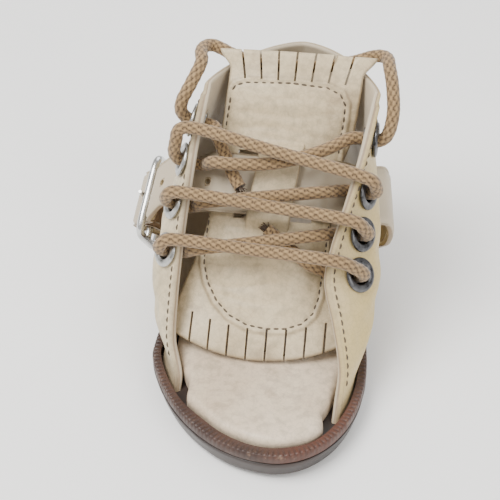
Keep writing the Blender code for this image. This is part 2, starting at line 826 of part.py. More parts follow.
def outside_route(side, anchor_y):
    """The strap's way up the outside of a wall, from the welt to just short of the slot, with width directions."""
    slot, _, long = slot_frame(side)
    foot_z = WELT_TOP + 3 * GAP
    places, widths = [], []
    for share, stand_off in OUTSIDE_ROWS:
        y = mix(anchor_y, slot.y, share)
        z = mix(foot_z, slot.z, share)
        at, height = wall_at(side, y, z)
        normal = wall_normal(side, at, height)
        if share == 0:
            normal = Vector((normal.x, normal.y, 0.0)).normalized()
        place = wall_outer(side, at, height) + normal * stand_off * MM
        place.z = z
        places.append(place)
        level = normal.cross(Vector((0.0, 0.0, 1.0))) * side
        level = level if level.y > 0 else -level
        widths.append(level.normalized().lerp(long, smooth(0.0, 0.75, share)).normalized())
    return places, widths


def strap_inside(side):
    """From the middle of a slot to the tongue's shoulder."""
    slot, outward, _ = slot_frame(side)
    return [slot + outward * 4.5 * MM, slot, slot - outward * 4.5 * MM]


# Buckle
BUCKLE_BACK = 20.3 * MM
BUCKLE_RAISED = 25.5 * MM
BUCKLE_OUT = 8.0 * MM  # from the wall to the middle of the frame
CHAPE_THICK = 1.6 * MM
CHAPE_OFF = 2.6 * MM  # from the wall to the middle of its foot


def buckle_frame_of():
    """Middle of the buckle, and its directions: along its long side, down the strap and outwards."""
    at, height = wall_at(-1, BUCKLE_BACK, BUCKLE_RAISED)
    place = wall_outer(-1, at, height) + wall_normal(-1, at, height) * BUCKLE_OUT
    down = Vector((0.1, 0.62, -0.78)).normalized()
    wide = Vector((0.12, 0.76, 0.64))
    wide = (wide - down * wide.dot(down)).normalized()
    return place, wide, down, down.cross(wide).normalized() * -1


def in_buckle(a, b, n):
    place, wide, down, out = buckle_frame_of()
    return place + wide * a + down * b + out * n


BAR_OUT = BUCKLE_BAR / 2 + GAP + CHAPE_THICK  # outside of the fold about the bar
UNDER = BUCKLE_WIRE / 2 + GAP + STRAP_THICK / 2 + 0.1 * MM
SIDE_B = BUCKLE_LENGTH / 2 - BUCKLE_WIRE / 2


def make_strap():
    _, wide, _, _ = buckle_frame_of()
    right_places, right_widths = outside_route(1, ANCHOR_RIGHT)
    route = list(right_places)
    widths = list(right_widths)
    inner = strap_inside(1)
    route += inner
    widths += [slot_frame(1)[2]] * len(inner)
    along = SLOT_PLACE * THROAT_LENGTH
    clear = STRAP_THICK / 2 + 2 * GAP
    under = TONGUE_THICK - BRIDGE_LIFT + GAP + STRAP_THICK / 2
    for off in (18.0, 14.5, 11.2, 6.4, 0.0, -6.4, -11.2, -14.5, -18.0):
        x = off * MM + tongue_middle(along)
        across = off * MM / tongue_half(along)
        shift = under if abs(off) < 8 else -clear
        shift -= 0.5 * MM if abs(off) > 16 else 0.0
        route.append(instep(x, along, tongue_depth(across, along) + shift))
        widths.append(UP_THROAT)
    inner = strap_inside(-1)[::-1]
    route += inner
    widths += [slot_frame(-1)[2]] * len(inner)
    rows = (
        (-SIDE_B - 2.5 * MM, -UNDER - 0.2 * MM),
        (-SIDE_B + 1.2 * MM, -UNDER + 0.3 * MM),
        (-SIDE_B * 0.5, 1.8 * MM),
        (0.0, BAR_OUT + GAP + STRAP_THICK / 2 + 0.3 * MM),
        (SIDE_B * 0.5, 1.8 * MM),
        (SIDE_B - 1.2 * MM, -UNDER + 0.3 * MM),
        (SIDE_B + 2.5 * MM, -UNDER - 0.2 * MM),
        (SIDE_B + 5.5 * MM, -UNDER - 0.2 * MM),
    )
    for b, n in rows:
        route.append(in_buckle(0.4 * MM * smooth(0, -SIDE_B, b), b, n))
        widths.append(wide)
    body = ribbon("strap", route, widths, STRAP_WIDTH, STRAP_THICK, 88, "leather", tip=1.0)
    cut(body, prong_hole())


PRONG = 0.7 * MM
PRONG_BASE = BUCKLE_BAR / 2 + 1.3 * GAP + PRONG


def prong_route():
    hook = []
    for angle in (-70, -35, 0, 40):
        turn = math.radians(180 + angle)
        hook.append(in_buckle(0, PRONG_BASE * math.cos(turn), -PRONG_BASE * math.sin(turn)))
    rest = BUCKLE_WIRE / 2 + GAP + PRONG
    return [hook[0], hook[1], hook[2]] + [
        in_buckle(0, -SIDE_B * 0.55, rest * 0.75),
        in_buckle(0, -SIDE_B, rest),
        in_buckle(0, -SIDE_B - 1.6 * MM, rest * 0.95),
    ]


def prong_hole():
    """An opening along the prong, through the rising part of the strap."""
    _, wide, _, _ = buckle_frame_of()
    a = in_buckle(0, -PRONG_BASE + 0.4 * MM, 0.2 * MM)
    b = in_buckle(0, -SIDE_B, BUCKLE_WIRE / 2 + PRONG)
    frame = oriented((b - a).normalized(), wide, (a + b) / 2)
    return box_cutter(frame, ((b - a).length, 2 * PRONG + 4 * GAP, 2 * PRONG + 7 * GAP))


def cord_solid(name, points, thick, look, count, sides=2):
    """A round cord along a smooth curve."""
    curve = bpy.data.curves.new(name, "CURVE")
    curve.dimensions = "3D"
    curve.bevel_depth = thick / 2
    curve.bevel_resolution = sides
    curve.use_fill_caps = True
    spline = curve.splines.new("POLY")
    line = smooth_line(points, count)
    spline.points.add(count - 1)
    for point, place in zip(spline.points, line):
        point.co = (*place, 1.0)
    obj = bpy.data.objects.new(name, curve)
    bpy.context.scene.collection.objects.link(obj)
    curve.materials.append(material(name, look))
    return obj


def make_buckle():
    place, wide, _, out = buckle_frame_of()
    wire = BUCKLE_WIRE / 2
    half_a = BUCKLE_HEIGHT / 2 - wire
    steps, sides = 28, 6
    power = 0.33
    middle = []
    for i in range(steps):
        turn = 2 * math.pi * i / steps
        c, s = math.cos(turn), math.sin(turn)
        a = math.copysign(abs(c) ** power, c) * half_a
        b = math.copysign(abs(s) ** power, s) * SIDE_B
        middle.append(in_buckle(a, b, 0))
    verts, faces = [], []
    for i in range(steps):
        along = (middle[(i + 1) % steps] - middle[i - 1]).normalized()
        across = along.cross(out).normalized()
        for k in range(sides):
            turn = 2 * math.pi * k / sides
            verts.append(middle[i] + across * wire * math.cos(turn) + out * wire * math.sin(turn))
            nxt = ((i + 1) % steps) * sides
            faces.append((i * sides + k, nxt + k, nxt + (k + 1) % sides, i * sides + (k + 1) % sides))
    frame = new_object("buckle_frame", verts, faces, "metal")
    ends = [place + wide * half_a * s for s in (-1, 1)]
    rings = [ring_points(end, wide, BUCKLE_BAR / 2, 10) for end in ends]
    cap = [tuple(range(10))]
    cut(frame, hidden(join_rings("bar", rings, None, cap, cap)), "UNION")
    cord_solid("buckle_prong", prong_route(), 2 * PRONG, "metal", 16)


def make_buckle_strap():
    """From the welt up under the strap's tail, and round the bar of the buckle."""
    _, wide, _, _ = buckle_frame_of()
    side = -1
    foot_z = WELT_TOP + 3 * GAP
    at, height = wall_at(side, ANCHOR_LEFT, foot_z)
    normal = wall_normal(side, at, height)
    normal = Vector((normal.x, normal.y, 0.0)).normalized()
    foot = wall_outer(side, at, height) + normal * CHAPE_OFF
    foot.z = foot_z
    level = normal.cross(Vector((0.0, 0.0, 1.0)))
    level = level if level.y > 0 else -level
    under = UNDER + STRAP_THICK / 2 + GAP + CHAPE_THICK / 2 + 0.65 * MM
    fold = BUCKLE_BAR / 2 + 1.5 * GAP + CHAPE_THICK / 2
    end = in_buckle(0, SIDE_B + 7 * MM, -under)
    route = [foot, foot.lerp(end, 0.5) + normal * 0.8 * MM, end]
    route += [in_buckle(0, SIDE_B, -under), in_buckle(0, 4 * MM, -under + 1.4 * MM)]
    widths = [level, level.lerp(wide, 0.5), wide, wide, wide]
    for angle in (-90, -130, 180, 130, 90, 72):
        turn = math.radians(angle)
        route.append(in_buckle(0, fold * math.cos(turn), fold * math.sin(turn)))
        widths.append(wide)
    body = ribbon("buckle_strap", route, widths, STRAP_WIDTH - 1 * MM, CHAPE_THICK, 52, "leather")
    place, _, down, _ = buckle_frame_of()
    frame = oriented(wide, down, place - down * 1.2 * MM)
    cut(body, box_cutter(frame, (2 * PRONG + 4 * GAP, 5.0 * MM, 9 * MM)))


# Lace
# Crossings: share of the way from left to right, depth and sag of the top one, depth of the others, mm
CROSS_COLUMNS = ("share", "top_depth", "top_sag", "depth")
CROSS_ROWS = ((0.08, 2.0, 1.0, 3.6), (0.2, 0.9, 2.4, 2.8), (0.5, 1.7, 4.0, 2.4), (0.8, 2.3, 2.6, 1.8))

# The loop from the right top eyelet, over the collar, behind the tongue and round to the left one
LOOP_COLUMNS = ("across, mm", "back, mm", "up, mm")
LOOP_ROWS = (
    (31.9, 13.0, 66.7),
    (31.2, 18.5, 72.8),
    (30.0, 23.8, 75.4),
    (29.0, 29.3, 75.4),
    (25.6, 31.6, 74.3),
    (20.0, 30.0, 73.0),
    (13.0, 28.4, 72.1),
    (4.5, 27.8, 71.7),
    (-5.0, 27.8, 71.8),
    (-12.5, 29.0, 73.0),
    (-19.3, 30.8, 75.0),
    (-21.8, 26.2, 75.8),
    (-20.8, 20.5, 75.5),
    (-22.8, 15.0, 72.0),
    (-25.4, 12.0, 66.6),
)
END_COLUMNS = ("across, mm", "down the throat, mm", "depth under its line, mm")
END_1_ROWS = ((-15.5, 13.0, 4.2), (-12.5, 19.0, 5.5), (-10.0, 24.0, 4.8), (-7.6, 27.5, 4.2))
END_2_ROWS = ((13.3, 47.0, 6.0), (6.1, 42.2, 5.8), (0.5, 38.2, 5.6))


def bar_end(side, row):
    """From an eyelet's outer side, over the edge of the wall and inwards."""
    place, axis, (_, height) = eyelet_frame(side, row)
    column = "bar_right" if side > 0 else "bar_left"
    edge = wall_outer(side, 0, height + EYELET_ROWS[row][EYELET_COLUMNS.index(column)])
    over = edge - INTO_SHOE * (LACE_THICK / 2 + LACE_OVER)
    turn = place.lerp(over, 0.45) + axis * 3.4 * MM
    return [place + axis * 2.1 * MM, turn, over + axis * 0.8 * MM]


def make_lace():
    for row in (1, 2, 3):
        left, right = bar_end(-1, row), bar_end(1, row)
        middle = (left[2] + right[2]) / 2
        cord_solid(f"lace_bar_{row}", left + [middle] + right[::-1], LACE_THICK, "cord", 15)
    for row in (1, 2, 3):
        start, end = inner_end(-1, row), inner_end(1, row - 1)
        route = [start]
        for share, top_sink, top_sag, sink in CROSS_ROWS:
            depth = top_sink if row == 1 else sink
            along = THROAT_LENGTH * mix(EYELET_ROWS[row][1], EYELET_ROWS[row - 1][0], share)
            along += top_sag * MM if row == 1 else 0.0
            route.append(instep(mix(start.x, end.x, share), along, depth * MM))
        cord_solid(f"lace_cross_{row}", route + [end], LACE_THICK, "cord", 10)
    side = {}
    for word, sign in (("right", 1), ("left", -1)):
        place, axis, _ = eyelet_frame(sign, 0)
        side[word] = place + axis * 2.4 * MM
    loop = [Vector((across, back, up)) * MM for across, back, up in LOOP_ROWS]
    cord_solid("lace_loop", [side["right"]] + loop + [side["left"]], LACE_THICK, "cord", 24)
    first = [inner_end(-1, 0)] + [instep(x * MM, down * MM, sink * MM) for x, down, sink in END_1_ROWS]
    cord_solid("lace_end_1", first, LACE_THICK, "cord", 8)
    second = [inner_end(1, 3)] + [instep(x * MM, down * MM, sink * MM) for x, down, sink in END_2_ROWS]
    cord_solid("lace_end_2", second, LACE_THICK, "cord", 8)


def inner_end(side, row):
    """Just under an eyelet, inside the shoe."""
    place, axis, _ = eyelet_frame(side, row)
    return place - axis * (WALL + LACE_THICK / 2 + LACE_INSIDE)


def main():
    for obj in list(bpy.data.objects):
        bpy.data.objects.remove(obj)
    make_outsole()
    make_welt()
    make_insole()
    make_upper()
    make_tongue()
    make_eyelets()
    make_strap()
    make_buckle()
    make_buckle_strap()
    make_lace()


main()
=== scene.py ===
# The looks of an infant's orthopaedic open-toe boot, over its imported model.
# Metres, +Z up. The toe points to -Y, the heel to +Y, and the buckle is at -X.
import json
import math
import random

import bmesh
import bpy
from mathutils import Matrix, Vector, noise

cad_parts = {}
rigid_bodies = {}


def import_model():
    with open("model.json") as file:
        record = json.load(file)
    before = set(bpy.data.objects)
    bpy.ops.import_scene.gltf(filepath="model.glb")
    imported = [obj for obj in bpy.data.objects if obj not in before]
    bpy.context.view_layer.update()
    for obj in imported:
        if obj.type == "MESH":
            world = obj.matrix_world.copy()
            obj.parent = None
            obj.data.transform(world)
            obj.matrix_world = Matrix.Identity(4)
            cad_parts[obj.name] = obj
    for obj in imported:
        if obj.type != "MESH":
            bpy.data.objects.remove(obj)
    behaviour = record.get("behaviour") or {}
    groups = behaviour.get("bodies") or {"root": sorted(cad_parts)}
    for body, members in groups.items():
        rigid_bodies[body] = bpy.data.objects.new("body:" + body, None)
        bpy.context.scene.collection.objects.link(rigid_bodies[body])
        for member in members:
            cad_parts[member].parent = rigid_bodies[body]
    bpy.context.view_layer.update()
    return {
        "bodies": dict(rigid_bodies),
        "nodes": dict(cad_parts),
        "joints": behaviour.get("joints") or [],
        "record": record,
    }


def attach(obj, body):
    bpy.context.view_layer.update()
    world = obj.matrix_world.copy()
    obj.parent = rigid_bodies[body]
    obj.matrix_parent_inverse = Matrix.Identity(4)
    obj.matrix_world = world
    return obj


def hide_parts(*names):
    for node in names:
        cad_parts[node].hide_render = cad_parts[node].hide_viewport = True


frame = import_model()

MM = 0.001
GAP = 0.3 * MM  # between touching pieces

# Sole
SOLE_LENGTH = 120 * MM
BALL_WIDTH = 59.8 * MM
BALL_SIDE = 0.6 * MM
HEEL_WIDTH = 56 * MM  # at the start of the heel's round
BALL_BACK = 37 * MM  # from the toe to the widest place
HEEL_ROUND = 52 * MM  # length of the rounded heel end
TOE_SIDE = 7.5 * MM  # the toe's furthest point lies this far to the inner side
HEEL_SIDE = 4.5 * MM
OUTSOLE_THICK = 4.9 * MM
WELT_THICK = 2.8 * MM
WELT_WIDTH = 3.4 * MM
WELT_NARROW = 2.4 * MM
EDGE_SLANT = 1.0 * MM  # the sole is this much smaller below than above
TOE_SPRING = 2.0 * MM
SPRING_LENGTH = 30 * MM
WELT_POINTS = 1200

# Upper
WALL = 2.4 * MM
EYESTAY_TOP = 73 * MM
COLLAR_BACK = 67 * MM
EYESTAY_BACK = 14.5 * MM  # how far the eyestay's top lies behind the middle of the sole
COLLAR_WIDTH = 48 * MM
COLLAR_END = 51.5 * MM  # how far the collar's back lies behind the middle of the sole
COLLAR_SIDE = 4.5 * MM
FRONT_LEFT = 24 * MM  # from the toe to the foot of each front edge
FRONT_RIGHT = 17.5 * MM
BULGE = 4.4 * MM
EDGE_CURL = 9 * MM
CURL_LENGTH = 17 * MM
COLLAR_STEP = 0.5 * MM  # the collar piece stands this much lower than the quarters
COLLAR_PIECE = 20 * MM  # depth of the collar piece at the back

# Eyelets
EYELET_OUTER = 9.6 * MM
EYELET_HOLE = 5.2 * MM
EYELET_RIM = 0.7 * MM
EYELET_INSET = 7.0 * MM  # from the throat edge to the middle of a hole

# Strap and buckle
STRAP_WIDTH = 16.5 * MM
STRAP_THICK = 2.0 * MM
SLOT_INSET = 16.5 * MM
SLOT_WIDTH = 4.4 * MM
SLOT_EXTRA = 3 * MM  # how much longer a slot is than the strap is wide
BUCKLE_HEIGHT = 26 * MM
BUCKLE_LENGTH = 21 * MM
BUCKLE_WIRE = 2.4 * MM
BUCKLE_BAR = 2.0 * MM

# Insole
INSOLE_THICK = 5.0 * MM
INSOLE_ROUND = 2.4 * MM

# Tongue
TONGUE_THICK = 1.8 * MM
TONGUE_TOP = 84.5 * MM  # length of the tongue along the throat
TONGUE_WIDTH = 47.5 * MM
FRINGE_TOP = 8.0 * MM
FRINGE_BOTTOM = 8.5 * MM
FRINGE_SLIT = 0.6 * MM
BRIDGE_WIDTH = 12 * MM

LACE_THICK = 3.6 * MM

TOE_Y = -SOLE_LENGTH / 2
HEEL_Y = SOLE_LENGTH / 2
BALL_Y = TOE_Y + BALL_BACK
ROUND_Y = HEEL_Y - HEEL_ROUND
WELT_TOP = OUTSOLE_THICK + GAP + WELT_THICK

# Steps of the outline on each side: toe curve, side and heel curve
TOE_STEPS = 40
SIDE_STEPS = 20
HEEL_STEPS = 40
TOE_FULLNESS = {-1: 1.3, 1: 2.1}  # the outer side slopes away from the toe, the inner side is round
HEEL_FULLNESS = 2.3
COLLAR_FULLNESS = 1.35
COLLAR_ROUNDNESS = 0.6

# Shares of the named sizes above, by share of the upper's height
SHAPE_COLUMNS = ("height", "bulge_right", "bulge_left", "curl_right", "curl_left")
SHAPE_ROWS = (
    (0.00, 0.00, 0.00, 0.00, 0.00),
    (0.05, 0.00, 0.00, 0.00, 0.00),
    (0.16, 0.72, 1.10, 0.06, -0.26),
    (0.30, 1.00, 1.75, 0.46, -0.30),
    (0.42, 1.02, 1.85, 0.86, -0.30),
    (0.52, 0.92, 1.70, 0.78, -0.29),
    (0.65, 0.68, 1.30, 0.50, -0.26),
    (0.80, 0.36, 0.70, 0.20, -0.20),
    (1.00, 0.00, 0.00, -0.05, 0.00),
)

# Places of the eyelets, as shares of the throat's length from its top; the bars' columns say how
# far above its eyelet each bar crosses the throat's edge
EYELET_COLUMNS = ("right", "left", "bar_right", "bar_left")
EYELET_ROWS = (
    (0.14, 0.12, 0.0, 0.0),
    (0.31, 0.25, 0.085, 0.13),
    (0.445, 0.39, 0.085, 0.06),
    (0.575, 0.545, 0.085, 0.06),
)
SLOT_PLACE = 0.31  # share of the throat's length from its top to the middle of the strap

WINDOW_WIDTH = 18.5 * MM
WINDOW_TOP = 31 * MM
WINDOW_FOOT = 13 * MM
WINDOW_SIDE = 3.5 * MM


def smooth(low, high, value):
    share = min(1.0, max(0.0, (value - low) / (high - low)))
    return share * share * (3 - 2 * share)


def mix(a, b, share):
    return a + (b - a) * share


def table_value(rows, columns, name, at):
    """Smooth value of one column, where the first column is at."""
    k = columns.index(name)
    at = min(rows[-1][0], max(rows[0][0], at))
    i = max(n for n in range(len(rows) - 1) if rows[n][0] <= at)
    before, low, high, after = (rows[min(len(rows) - 1, max(0, i + n))] for n in (-1, 0, 1, 2))
    span = high[0] - low[0]
    share = (at - low[0]) / span
    slope_low = (high[k] - before[k]) / (high[0] - before[0]) * span
    slope_high = (after[k] - low[k]) / (after[0] - low[0]) * span
    return (
        (2 * share**3 - 3 * share**2 + 1) * low[k]
        + (share**3 - 2 * share**2 + share) * slope_low
        + (3 * share**2 - 2 * share**3) * high[k]
        + (share**3 - share**2) * slope_high
    )


def spring(y):
    """How far the sole's toe lifts at y."""
    share = max(0.0, (TOE_Y + SPRING_LENGTH - y) / SPRING_LENGTH)
    return TOE_SPRING * share * share


def side_outline(side):
    """One side of the sole's top outline, from the toe's tip to the heel's."""
    points = []
    reach = BALL_WIDTH / 2 + side * (BALL_SIDE - TOE_SIDE)
    for i in range(TOE_STEPS):
        along = math.sin(math.radians(90) * (1 - i / TOE_STEPS))
        out = math.sqrt(1 - along ** TOE_FULLNESS[side])
        points.append(Vector((TOE_SIDE + side * reach * out, BALL_Y - BALL_BACK * along)))
    for i in range(SIDE_STEPS):
        share = i / SIDE_STEPS
        half = mix(BALL_WIDTH, HEEL_WIDTH, smooth(0, 1, share)) / 2
        points.append(Vector((BALL_SIDE * (1 - share) + side * half, mix(BALL_Y, ROUND_Y, share))))
    for i in range(HEEL_STEPS + 1):
        along = math.sin(math.radians(90) * i / HEEL_STEPS)
        out = math.sqrt(max(0.0, 1 - along**HEEL_FULLNESS))
        points.append(Vector((HEEL_SIDE * along + side * HEEL_WIDTH / 2 * out, ROUND_Y + HEEL_ROUND * along)))
    return points


def welt_width(point):
    """Narrower beside the wall, which stands near the sole's edge."""
    return mix(WELT_WIDTH, WELT_NARROW, smooth(12 * MM, 22 * MM, abs(point.x)))


def outline(inset):
    """The closed outline, right side to the heel and left side back; inset is a number or a function."""
    right = side_outline(1)
    ring = right + side_outline(-1)[-2:0:-1]
    moved = []
    for i, point in enumerate(ring):
        along = ring[(i + 1) % len(ring)] - ring[i - 1]
        outward = Vector((along.y, -along.x)).normalized()
        depth = inset(point) if callable(inset) else inset
        moved.append(point - outward * depth)
    return moved


def resample(points, count, closed=False):
    """Evenly spaced points along a line of 2-D or 3-D points."""
    line = list(points) + ([points[0]] if closed else [])
    reach = [0.0]
    for a, b in zip(line, line[1:]):
        reach.append(reach[-1] + (b - a).length)
    steps = count if closed else count - 1
    out = []
    k = 0
    for i in range(count):
        want = reach[-1] * i / steps
        while k < len(line) - 2 and reach[k + 1] < want:
            k += 1
        share = (want - reach[k]) / (reach[k + 1] - reach[k])
        out.append(line[k].lerp(line[k + 1], share))
    return out


def front_foot(side):
    """Where a front edge of the upper stands, along Y."""
    return TOE_Y + (FRONT_RIGHT if side > 0 else FRONT_LEFT)


def insole_inset(point):
    """Close to the welt at the open toe, and inside the wall behind the front edges."""
    side = 1 if point.x > TOE_SIDE else -1
    open_toe = welt_width(point) + 2.5 * GAP
    walled = welt_width(point) + WALL + 4.6 * GAP
    foot = front_foot(side)
    lean = 0.8 * MM * (1 - smooth(foot + 8 * MM, foot + 26 * MM, point.y))
    return mix(open_toe, walled + lean, smooth(foot - 9 * MM, foot - 2 * MM, point.y))


def new_object(name, verts, faces, look, **values):
    """A smooth-shaded piece, with its named values at each point."""
    mesh = bpy.data.meshes.new(name)
    mesh.from_pydata([tuple(v) for v in verts], [], faces)
    for word, numbers in values.items():
        mesh.attributes.new(word, "FLOAT", "POINT").data.foreach_set("value", numbers)
    body = bmesh.new()
    body.from_mesh(mesh)
    bmesh.ops.triangulate(body, faces=[f for f in body.faces if len(f.verts) > 4])
    bmesh.ops.recalc_face_normals(body, faces=body.faces)
    body.to_mesh(mesh)
    body.free()
    mesh.shade_smooth()
    mesh.set_sharp_from_angle(angle=math.radians(50))
    obj = bpy.data.objects.new(name, mesh)
    bpy.context.scene.collection.objects.link(obj)
    if look is not None:
        mesh.materials.append(look)
    return obj


def shown(obj, slot, *nodes):
    """A piece of the boot, which stands for these nodes: it joins the root body and hides them; slot is not
    used.
    """
    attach(obj, "root")
    if nodes:
        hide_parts(*nodes)
    return obj


def ring_faces(rings, count, closed=False):
    """Faces between rings of as many points each; closed joins the last ring to the first."""
    faces = []
    for r in range(rings if closed else rings - 1):
        s = (r + 1) % rings
        for i in range(count):
            j = (i + 1) % count
            faces.append((r * count + i, r * count + j, s * count + j, s * count + i))
    return faces


def join_rings(name, rings, look, cap_low, cap_high, **values):
    """A closed solid through rings of as many points each; the caps are lists of faces."""
    verts = [v for ring in rings for v in ring]
    count = len(rings[0])
    faces = ring_faces(len(rings), count)
    last = (len(rings) - 1) * count
    faces += [tuple(face) for face in cap_low]
    faces += [tuple(last + i for i in face) for face in cap_high]
    return new_object(name, verts, faces, look, **values)


def cross_faces(count):
    half = count // 2
    faces = [(0, 1, count - 1)]
    for i in range(1, half - 1):
        faces.append((i, i + 1, count - i - 1, count - i))
    faces.append((half - 1, half, half + 1))
    return faces


def plate_ring(inset, height):
    return [Vector((p.x, p.y, height + spring(p.y))) for p in outline(inset)]


def matched(points, ring):
    out = []
    for point in points:
        near = []
        for a, b in zip(ring, ring[1:] + ring[:1]):
            share = min(1.0, max(0.0, (point - a).dot(b - a) / (b - a).length_squared))
            near.append(a.lerp(b, share))
        out.append(min(near, key=lambda place: (place - point).length))
    return out


def sheet(name, outer, inner, look, **values):
    """A closed shell between two grids of points; layer is 0 outside and 1 inside."""
    wide, high = len(outer), len(outer[0])
    verts = [v for line in outer for v in line] + [v for line in inner for v in line]
    shift = wide * high
    faces = []
    for i in range(wide - 1):
        for j in range(high - 1):
            a = i * high + j
            faces.append((a, a + high, a + high + 1, a + 1))
            faces.append((shift + a, shift + a + 1, shift + a + high + 1, shift + a + high))
    border = [i * high for i in range(wide)]
    border += [(wide - 1) * high + j for j in range(1, high)]
    border += [i * high + high - 1 for i in range(wide - 2, -1, -1)]
    border += list(range(high - 2, 0, -1))
    for k, a in enumerate(border):
        b = border[(k + 1) % len(border)]
        faces.append((a, shift + a, shift + b, b))
    layer = [0.0] * shift + [1.0] * shift
    return new_object(name, verts, faces, look, layer=layer, **values)


# Materials
def shader_of(name):
    made = bpy.data.materials.new(name)
    made.use_nodes = True
    tree = made.node_tree
    return made, tree, tree.nodes["Principled BSDF"]


def node(tree, kind, **inputs):
    made = tree.nodes.new(kind)
    for word, value in inputs.items():
        target = made.inputs[word.replace("_", " ")]
        if isinstance(value, bpy.types.NodeSocket):
            tree.links.new(value, target)
        else:
            target.default_value = value
    return made


def place_of(tree):
    return tree.nodes.new("ShaderNodeTexCoord").outputs["Object"]


def ramp(tree, value, *stops):
    made = tree.nodes.new("ShaderNodeValToRGB")
    elements = made.color_ramp.elements
    while len(elements) < len(stops):
        elements.new(0.5)
    for element, (place, color) in zip(elements, stops):
        element.position = place
        color = (color,) * 3 if isinstance(color, (int, float)) else color
        element.color = (*color, 1.0)
    tree.links.new(value, made.inputs["Fac"])
    return made.outputs["Color"]


def blend_color(tree, share, a, b, how="MIX"):
    made = tree.nodes.new("ShaderNodeMix")
    made.data_type = "RGBA"
    made.blend_type = how
    for socket, value in ((made.inputs[0], share), (made.inputs[6], a), (made.inputs[7], b)):
        if isinstance(value, bpy.types.NodeSocket):
            tree.links.new(value, socket)
        else:
            socket.default_value = (*value, 1.0) if isinstance(value, tuple) else value
    return made.outputs[2]


def noise_of(tree, scale, detail=3.0, rough=0.55):
    made = node(tree, "ShaderNodeTexNoise", Scale=scale, Detail=detail, Roughness=rough)
    tree.links.new(place_of(tree), made.inputs["Vector"])
    return made.outputs[0]


def attribute(tree, word):
    made = tree.nodes.new("ShaderNodeAttribute")
    made.attribute_name = word
    return made.outputs["Fac"]


def bump(tree, shader, *heights):
    """Bumps in a chain, each of (height, strength, distance in metres)."""
    last = None
    for height, strength, distance in heights:
        made = node(tree, "ShaderNodeBump", Strength=strength, Distance=distance, Height=height)
        if last is not None:
            tree.links.new(last, made.inputs["Normal"])
        last = made.outputs["Normal"]
    tree.links.new(last, shader.inputs["Normal"])


RAW_EDGE = (0.22, 0.16, 0.10)
LINING = (0.56, 0.47, 0.34)


def leather(name, light, dark, yellow=None, lining=LINING, dirty=0.5, layered=True):
    """Worn smooth leather: grain, soiling, raw edges between its outer face and its lining."""
    made, tree, shader = shader_of(name)
    cloud = ramp(tree, noise_of(tree, 38, 4), (0.32, dark), (0.62, light))
    speck = ramp(tree, noise_of(tree, 420, 3), (0.36, 0.80), (0.56, 1.0))
    color = blend_color(tree, 1.0, cloud, speck, "MULTIPLY")
    if yellow is not None:
        split = tree.nodes.new("ShaderNodeSeparateXYZ")
        tree.links.new(place_of(tree), split.inputs[0])
        side = node(tree, "ShaderNodeMapRange")
        tree.links.new(split.outputs["X"], side.inputs[0])
        side.inputs[1].default_value = 0.008
        side.inputs[2].default_value = 0.030
        patch = ramp(tree, noise_of(tree, 24, 2), (0.30, 0.35), (0.60, 1.0))
        share = blend_color(tree, 1.0, side.outputs[0], patch, "MULTIPLY")
        color = blend_color(tree, share, color, yellow)
    stain = ramp(tree, noise_of(tree, 95, 6, 0.68), (0.56, 0.0), (0.74, dirty))
    color = blend_color(tree, stain, color, (0.23, 0.15, 0.085))
    crack = node(tree, "ShaderNodeTexVoronoi", Vector=place_of(tree), Scale=650.0)
    crack.feature = "DISTANCE_TO_EDGE"
    lines = ramp(tree, crack.outputs[0], (0.0, 0.80), (0.10, 1.0))
    color = blend_color(tree, 0.55, color, blend_color(tree, 1.0, color, lines, "MULTIPLY"))
    if layered:
        layer = attribute(tree, "layer")
        grime = attribute(tree, "dirt")
        color = blend_color(tree, grime, color, (0.13, 0.085, 0.05))
        rim = ramp(tree, layer, (0.10, 0.0), (0.24, 1.0), (0.62, 1.0), (0.80, 0.0))
        fibre = blend_color(tree, noise_of(tree, 900, 2), RAW_EDGE, tuple(1.7 * c for c in RAW_EDGE))
        inside = ramp(tree, layer, (0.55, 0.0), (0.75, 1.0))
        soft = blend_color(tree, noise_of(tree, 60, 4), lining, tuple(0.66 * c for c in lining))
        color = blend_color(tree, inside, color, soft)
        color = blend_color(tree, rim, color, fibre)
    tree.links.new(color, shader.inputs["Base Color"])
    tree.links.new(ramp(tree, noise_of(tree, 130, 4), (0.3, 0.42), (0.7, 0.62)), shader.inputs["Roughness"])
    shader.inputs["Coat Weight"].default_value = 0.08
    shader.inputs["Coat Roughness"].default_value = 0.35
    shader.inputs["Sheen Weight"].default_value = 0.08
    bump(
        tree,
        shader,
        (crack.outputs[0], 0.20, 0.00025),
        (noise_of(tree, 300, 4), 0.30, 0.0004),
        (noise_of(tree, 70, 5, 0.6), 0.35, 0.0012),
    )
    return made


def plain(name, low, high, rough, metal=0.0, scale=200.0, lift=0.0002, coat=0.0, stretch=None):
    """A finish that wanders between two colours, with fine relief; stretch pulls it into streaks."""
    made, tree, shader = shader_of(name)
    where = place_of(tree)
    if stretch:
        mapped = node(tree, "ShaderNodeMapping", Vector=where)
        mapped.inputs["Scale"].default_value = stretch
        where = mapped.outputs[0]
    grain = node(tree, "ShaderNodeTexNoise", Vector=where, Scale=scale, Detail=5.0, Roughness=0.6).outputs[0]
    tree.links.new(ramp(tree, grain, (0.34, low), (0.68, high)), shader.inputs["Base Color"])
    tree.links.new(ramp(tree, grain, (0.3, rough[0]), (0.7, rough[1])), shader.inputs["Roughness"])
    shader.inputs["Metallic"].default_value = metal
    if coat:
        shader.inputs["Coat Weight"].default_value = coat
        shader.inputs["Coat Roughness"].default_value = 0.25
    bump(tree, shader, (grain, 0.4, lift))
    return made


